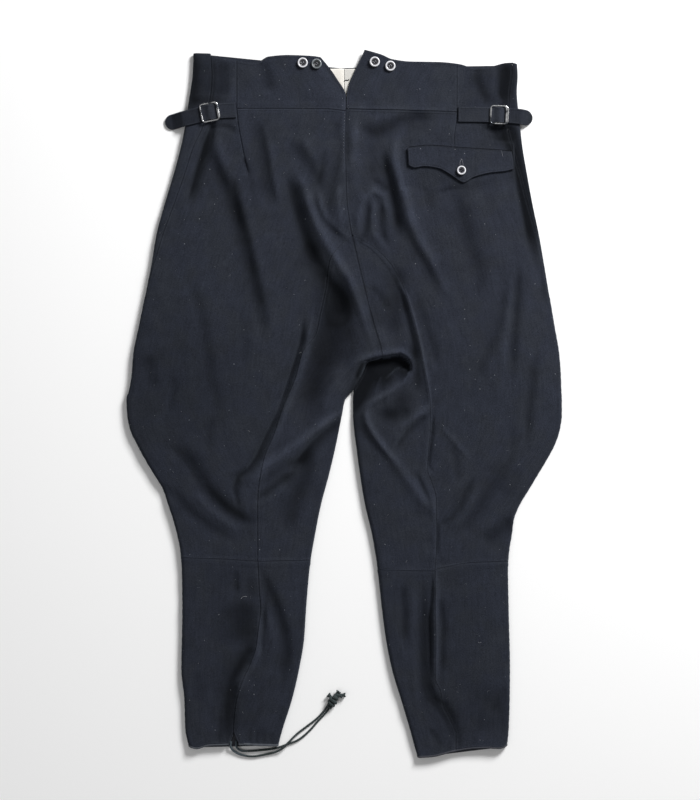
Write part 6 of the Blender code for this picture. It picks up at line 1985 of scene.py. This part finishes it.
FACINGS = {}
facing("left", -FACING_REACH, 0.0, FACING_LOW, facing_top, FACING_LOOK)
facing("right", 0.3, FACING_REACH, FACING_LOW, facing_top, FACING_GREY_LOOK)
facing("hem", SLIT_MIDDLE - SLIT_FACING, SLIT_MIDDLE + SLIT_FACING, SLIT_LOW,
       lambda x: SLIT_HIGH + 0 * x, BINDING_LOOKS["right"])
print("facings:", sorted(FACINGS))

# %% [markdown]
# ## Stitches
#
# A lockstitch shows as a row of short raised bars, one for each pull of the thread. They
# run beside the seams, round the flap and straps and along the top edge. The dark thread
# nearly vanishes in the wool. A paler one shows where the buttonhole is worked, where a
# tack is sewn over a weak place, and where the notch has been mended.

# %% Stitch runs
def chance(tree, low, high, seed):
    """A random number between two others for each copy."""
    return node(tree, "FunctionNodeRandomValue", {2: low, 3: high, "Seed": seed},
                data_type="FLOAT").outputs[1]


def stitch_runs():
    """One small bar of thread after another along each curve."""
    tree, given, made = node_group(
        "stitch_runs", "GeometryNodeTree",
        [("Geometry", "Geometry", None), ("Pitch", "Float", 0.003), ("Length", "Float", 0.0022),
         ("Width", "Float", 0.0005), ("Turn", "Float", 0.0), ("Seed", "Int", 3),
         ("Material", "Material", None)],
        [("Geometry", "Geometry")])
    spots = node(tree, "GeometryNodeCurveToPoints", {"Curve": given["Geometry"],
                                                     "Length": given["Pitch"]}, mode="LENGTH")
    wobble = chance(tree, -0.12, 0.12, given["Seed"])
    turned = node(tree, "ShaderNodeCombineXYZ", {2: plus(tree, given["Turn"], wobble)})
    along = node(tree, "FunctionNodeAlignRotationToVector", {"Vector": spots.outputs["Tangent"]},
                 axis="X")
    spun = node(tree, "FunctionNodeRotateRotation", {"Rotation": along.outputs[0],
                                                     "Rotate By": turned.outputs[0]},
                rotation_space="LOCAL")
    size = node(tree, "ShaderNodeCombineXYZ", {0: given["Length"], 1: given["Width"],
                                               2: given["Width"]}).outputs[0]
    scale = vector(tree, "SCALE", size, scale=chance(tree, 0.85, 1.1, given["Seed"]))
    bar = node(tree, "GeometryNodeMeshUVSphere", {"Segments": 6, "Rings": 4, "Radius": 0.5})
    copies = node(tree, "GeometryNodeInstanceOnPoints",
                  {"Points": spots.outputs["Points"], "Instance": soft(tree, bar.outputs["Mesh"]),
                   "Rotation": spun.outputs[0], "Scale": scale})
    return end_growth(tree, copies.outputs[0], given, made)


# %% Where the stitches run
STITCH_STEP = 12           # between the points of a stitched route
BESIDE_SEAM = 3.2          # how far from a seam its row of stitches runs


def laid(route, ground, lift=0.12):
    """A route laid on what is under it, at points a millimetre and a half apart."""
    flat = rounded_route([(x, y, 0.0) for x, y in route], 1.5)
    flat[:, 2] = [ground.height(x, y) + lift for x, y, _ in flat]
    return flat


def steps_between(first, last):
    """Places from first to last, a stitch step or so apart."""
    return np.linspace(first, last, max(3, int(abs(last - first) / STITCH_STEP)))


def offset_route(line, low, high, off):
    """A route beside a seam that is given as x by height."""
    return [(float(line(y)) + off, float(y)) for y in steps_between(high, low)]


def level_route(line, left, right, off):
    """A route beside a seam that is given as height by x."""
    return [(float(x), float(line(x)) + off) for x in steps_between(left, right)]


ALL_GROUND = Ground(list(PIECES.values()))
STITCHES, STITCH_PIECES = stitch_runs(), {}


def on_wool(*routes):
    """Routes laid on the wool."""
    return [laid(route, ALL_GROUND) for route in routes]


def sew(name, routes, pitch, length, width, look=THREAD_LOOK, turn=0.0):
    """Grow stitches along some routes. Each run has a seed of its own."""
    STITCH_PIECES[name] = grown("stitches_" + name, route_object("route", routes), STITCHES,
                                {"Pitch": pitch, "Length": length, "Width": width, "Material": look,
                                 "Turn": turn, "Seed": len(STITCH_PIECES)})


def round_strap(side):
    """A route inside the edge of a strap and round its end."""
    points, across, _ = STRAP_LINES[side]
    ends = len(points) - int(STRAP_WIDTH / 2)
    ahead = np.array([across[-1][1], -across[-1][0]])
    arc = [points[ends - 1] + (STRAP_WIDTH / 2 - 2.6) * (across[-1] * math.cos(t) + ahead * math.sin(t))
           for t in np.linspace(0.2, 2.94, 9)]
    out, back = ([points[i] + across[i] * off for i in range(3, ends, 6)] for off in (8.2, -8.2))
    return [tuple(point) for point in out + arc + back[::-1]]


print("stitches lie on", len(PIECES), "pieces of wool")

# %% Stitches
LEFT, RIGHT = SIDE_DATA["left"], SIDE_DATA["right"]
PLAIN = (0.0029, 0.0021, 0.00045)      # pitch, length and width of a plain stitch, metres
BUTTONHOLE_X = 164.0
KNEE_ENDS = {"left": (-212, -59), "right": (56, 218)}
flap_edge = ([(90.5, 353.0), (90.8, 339.5)] + level_route(smooth_line(FLAP_BOTTOM), 94.5, 232, 3.0)
             + [(234.0, 337.0), (231.8, 350.0)])
slit_sides = [[(SLIT_MIDDLE + way * (3.5 + float(hem_slit(y))), y) for y in np.linspace(-456, -474, 6)]
              for way in (-1, 1)]
buttonhole = [[(BUTTONHOLE_X + way * off, y) for off, y in ((2.4, 332.5), (1.7, 337.5), (0.4, 342.0))]
              for way in (-1, 1)]
hook = [(0.8, 452.8), (2.8, 454.4), (5.4, 453.4), (6.6, 454.8)]
tack = [(221.8, 346.0), (220.8, 350.5), (220.0, 355.0)]
mend = [(1.2, 405.0), (0.4, 392.0), (-0.4, 376.0), (-0.6, 352.0)]
mend_by_notch = [[(-2.2, 428.0), (-1.6, 423.0), (-1.9, 417.0)], [(6.0, 417.5), (6.4, 413.0)]]

sew("waist", on_wool(level_route(LEFT["waist"], -146, -4, -BESIDE_SEAM),
                     level_route(RIGHT["waist"], 8, 152, -BESIDE_SEAM)), 0.0031, 0.0023, 0.00055)
sew("top", on_wool(level_route(LEFT["top"], -150, -34, -BESIDE_SEAM),
                   level_route(RIGHT["top"], 36, 196, -BESIDE_SEAM),
                   offset_route(LEFT["notch"], 420, 476, -3.4),
                   offset_route(RIGHT["notch"], 420, 490, 3.4)), *PLAIN)
sew("flap", [laid(flap_edge, FLAP_GROUND)], 0.0028, 0.0020, 0.00045)
# Dark thread packed into one line: stitches and the painted shadow under the wool's edge above the flap
sew("flap_top_shadow_line", on_wool(level_route(smooth_line(FLAP_TOP), 91, 231, 1.6)), 0.0020, 0.0024, 0.0009)
for side, ends in KNEE_ENDS.items():
    sew("strap_" + side, [laid(round_strap(side), Ground([STRAP_PIECES[side]]))],
        0.0026, 0.0019, 0.00045)
    sew("knee_" + side, on_wool(level_route(SIDE_DATA[side]["knee"], *ends, 2.6)), *PLAIN)
sew("slit", on_wool(*slit_sides), 0.0026, 0.0018, 0.0005)
sew("buttonhole", [laid(route, FLAP_GROUND) for route in buttonhole],
    0.0009, 0.0012, 0.00055, PALE_THREAD_LOOK)
sew("facing_hook", [laid(hook, Ground([FACINGS["right"]]))], 0.0009, 0.0018, 0.0015)
sew("flap_tack", [laid(tack, FLAP_GROUND)], 0.0008, 0.0009, 0.00035, PALE_THREAD_LOOK, math.pi / 2)
sew("mend", [laid(route, ALL_GROUND, 0.15) for route in mend_by_notch] + [laid(mend, ALL_GROUND, 0.1)],
    0.0041, 0.0013, 0.0004, PALE_THREAD_LOOK)
print("stitches:", sum(len(p.data.polygons) for p in STITCH_PIECES.values()), "faces")

# %% [markdown]
# ## Lint
#
# Black wool picks up light fibres and crumbs from everything it touches. They lie at all
# angles and are denser where the garment is handled. One curved fibre is copied onto
# places all over the cloth, each with its own turn and length.

# %% Lint fibres
def lint_fibres():
    """A short curved fibre on each point, turned and sized by chance."""
    tree, given, made = node_group(
        "lint_fibres", "GeometryNodeTree",
        [("Geometry", "Geometry", None), ("Length", "Float", 0.0024), ("Width", "Float", 0.00013),
         ("Seed", "Int", 5), ("Material", "Material", None)],
        [("Geometry", "Geometry")])
    bend = node(tree, "GeometryNodeCurveQuadraticBezier",
                {"Resolution": 5, "Start": (-0.5, 0.0, 0.0), "Middle": (0.0, 0.38, 0.10),
                 "End": (0.5, 0.0, 0.0)})
    radius = maths(tree, "DIVIDE", given["Width"], times(tree, given["Length"], 2.0))
    ring = node(tree, "GeometryNodeCurvePrimitiveCircle", {"Resolution": 4, "Radius": radius})
    fibre = node(tree, "GeometryNodeCurveToMesh", {"Curve": bend.outputs[0], "Fill Caps": True,
                                                   "Profile Curve": ring.outputs[0]})
    spin = node(tree, "FunctionNodeRandomValue", {0: (-0.1, -0.1, 0.0), 1: (0.1, 0.1, 6.28),
                                                  "Seed": given["Seed"]}, data_type="FLOAT_VECTOR")
    own_size = node(tree, "GeometryNodeInputNamedAttribute", {"Name": "size"}, data_type="FLOAT")
    size = times(tree, chance(tree, 0.35, 1.3, given["Seed"]), given["Length"], own_size.outputs[0])
    copies = node(tree, "GeometryNodeInstanceOnPoints",
                  {"Points": given["Geometry"], "Instance": fibre.outputs[0],
                   "Rotation": spin.outputs[0], "Scale": size})
    return end_growth(tree, copies.outputs[0], given, made)


def point_object(name, rows):
    """A mesh of loose points with a size each, for what is copied onto them."""
    mesh = bpy.data.meshes.new(name)
    mesh.from_pydata([tuple(v * MM for v in row[:3]) for row in rows], [], [])
    mesh.attributes.new("size", "FLOAT", "POINT").data.foreach_set("value", [row[3] for row in rows])
    return placed(name, mesh)


# %% Lint
LINT_COUNT, LINT_SEED = 300, 12
LINT_X, LINT_Y = (-300, 300), (-485, 480)
LINT_FLOOR = 4.5           # what is lower than this isn't the upper layer
LINT_MARKS = [             # x, y, how large: the ones that catch the eye
    (-140, -271, 4.4), (-60, 71, 1.8), (-133, -38, 1.8), (186, 60, 1.8), (138, -30, 1.6),
    (245, -85, 1.6), (87, -220, 1.6), (-225, -345, 1.5), (190, -333, 1.8), (202, -402, 1.6),
    (-10, 240, 1.5), (60, 262, 1.6), (-52, 300, 1.5), (110, 210, 1.6), (-160, 180, 1.4),
    (-137, 419, 1.6), (102, 440, 1.6), (70, 300, 1.3), (196, 350, 1.3), (-90, 150, 1.4),
]
dice = np.random.default_rng(LINT_SEED)
places = list(LINT_MARKS)
while len(places) < LINT_COUNT:
    x, y = dice.uniform(*LINT_X), dice.uniform(*LINT_Y)
    if ALL_GROUND.height(x, y) > LINT_FLOOR and bare(np.array(x), np.array(y)) > 0.9:
        places.append((x, y, dice.uniform(0.4, 1.0)))
spots = [(x, y, ALL_GROUND.height(x, y) + 0.12, size) for x, y, size in places]
LINT_PIECE = grown("lint", point_object("lint_places", spots), lint_fibres(), {"Material": LINT_LOOK})
print("lint:", len(LINT_PIECE.data.polygons), "faces on", len(spots), "places")

# %% [markdown]
# ## What each piece is
#
# Every piece takes the place of the solid that it shows, and rides with the garment.

# %% Roles
def role(piece, slot, *nodes):
    """The piece rides with the garment and stands for solids. Its slot is not used."""
    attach(piece, "root")
    if nodes:
        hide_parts(*nodes)


for name, piece in PIECES.items():
    role(piece, "wool", name.removeprefix("cloth_"))
role(FLAP, "wool", "pocket_flap")
for side in STRAPS:
    role(STRAP_PIECES[side], "wool_strap", "strap_" + side)
    role(BUCKLE_PIECES[side], "buckle", "buckle_" + side)
    role(BINDINGS[side], "binding", "hem_binding_" + side)
    role(FACINGS[side], "facing", "facing_" + side)
role(FACINGS["hem"], "binding", "hem_facing_left")
for name, (disc, thread) in BUTTONS.items():
    role(disc, "button", name)
    role(thread, "wool")
for name, solid in (("cord_a", "drawstring_a"), ("cord_b", "drawstring_b"), ("knot", "drawstring_knot")):
    role(CORDS[name], "cord", solid)
for piece in [*STITCH_PIECES.values(), LINT_PIECE]:
    role(piece, "wool")


for name, route in CORD_ROUTES.items():
    course = rounded_route(route, 2.0)
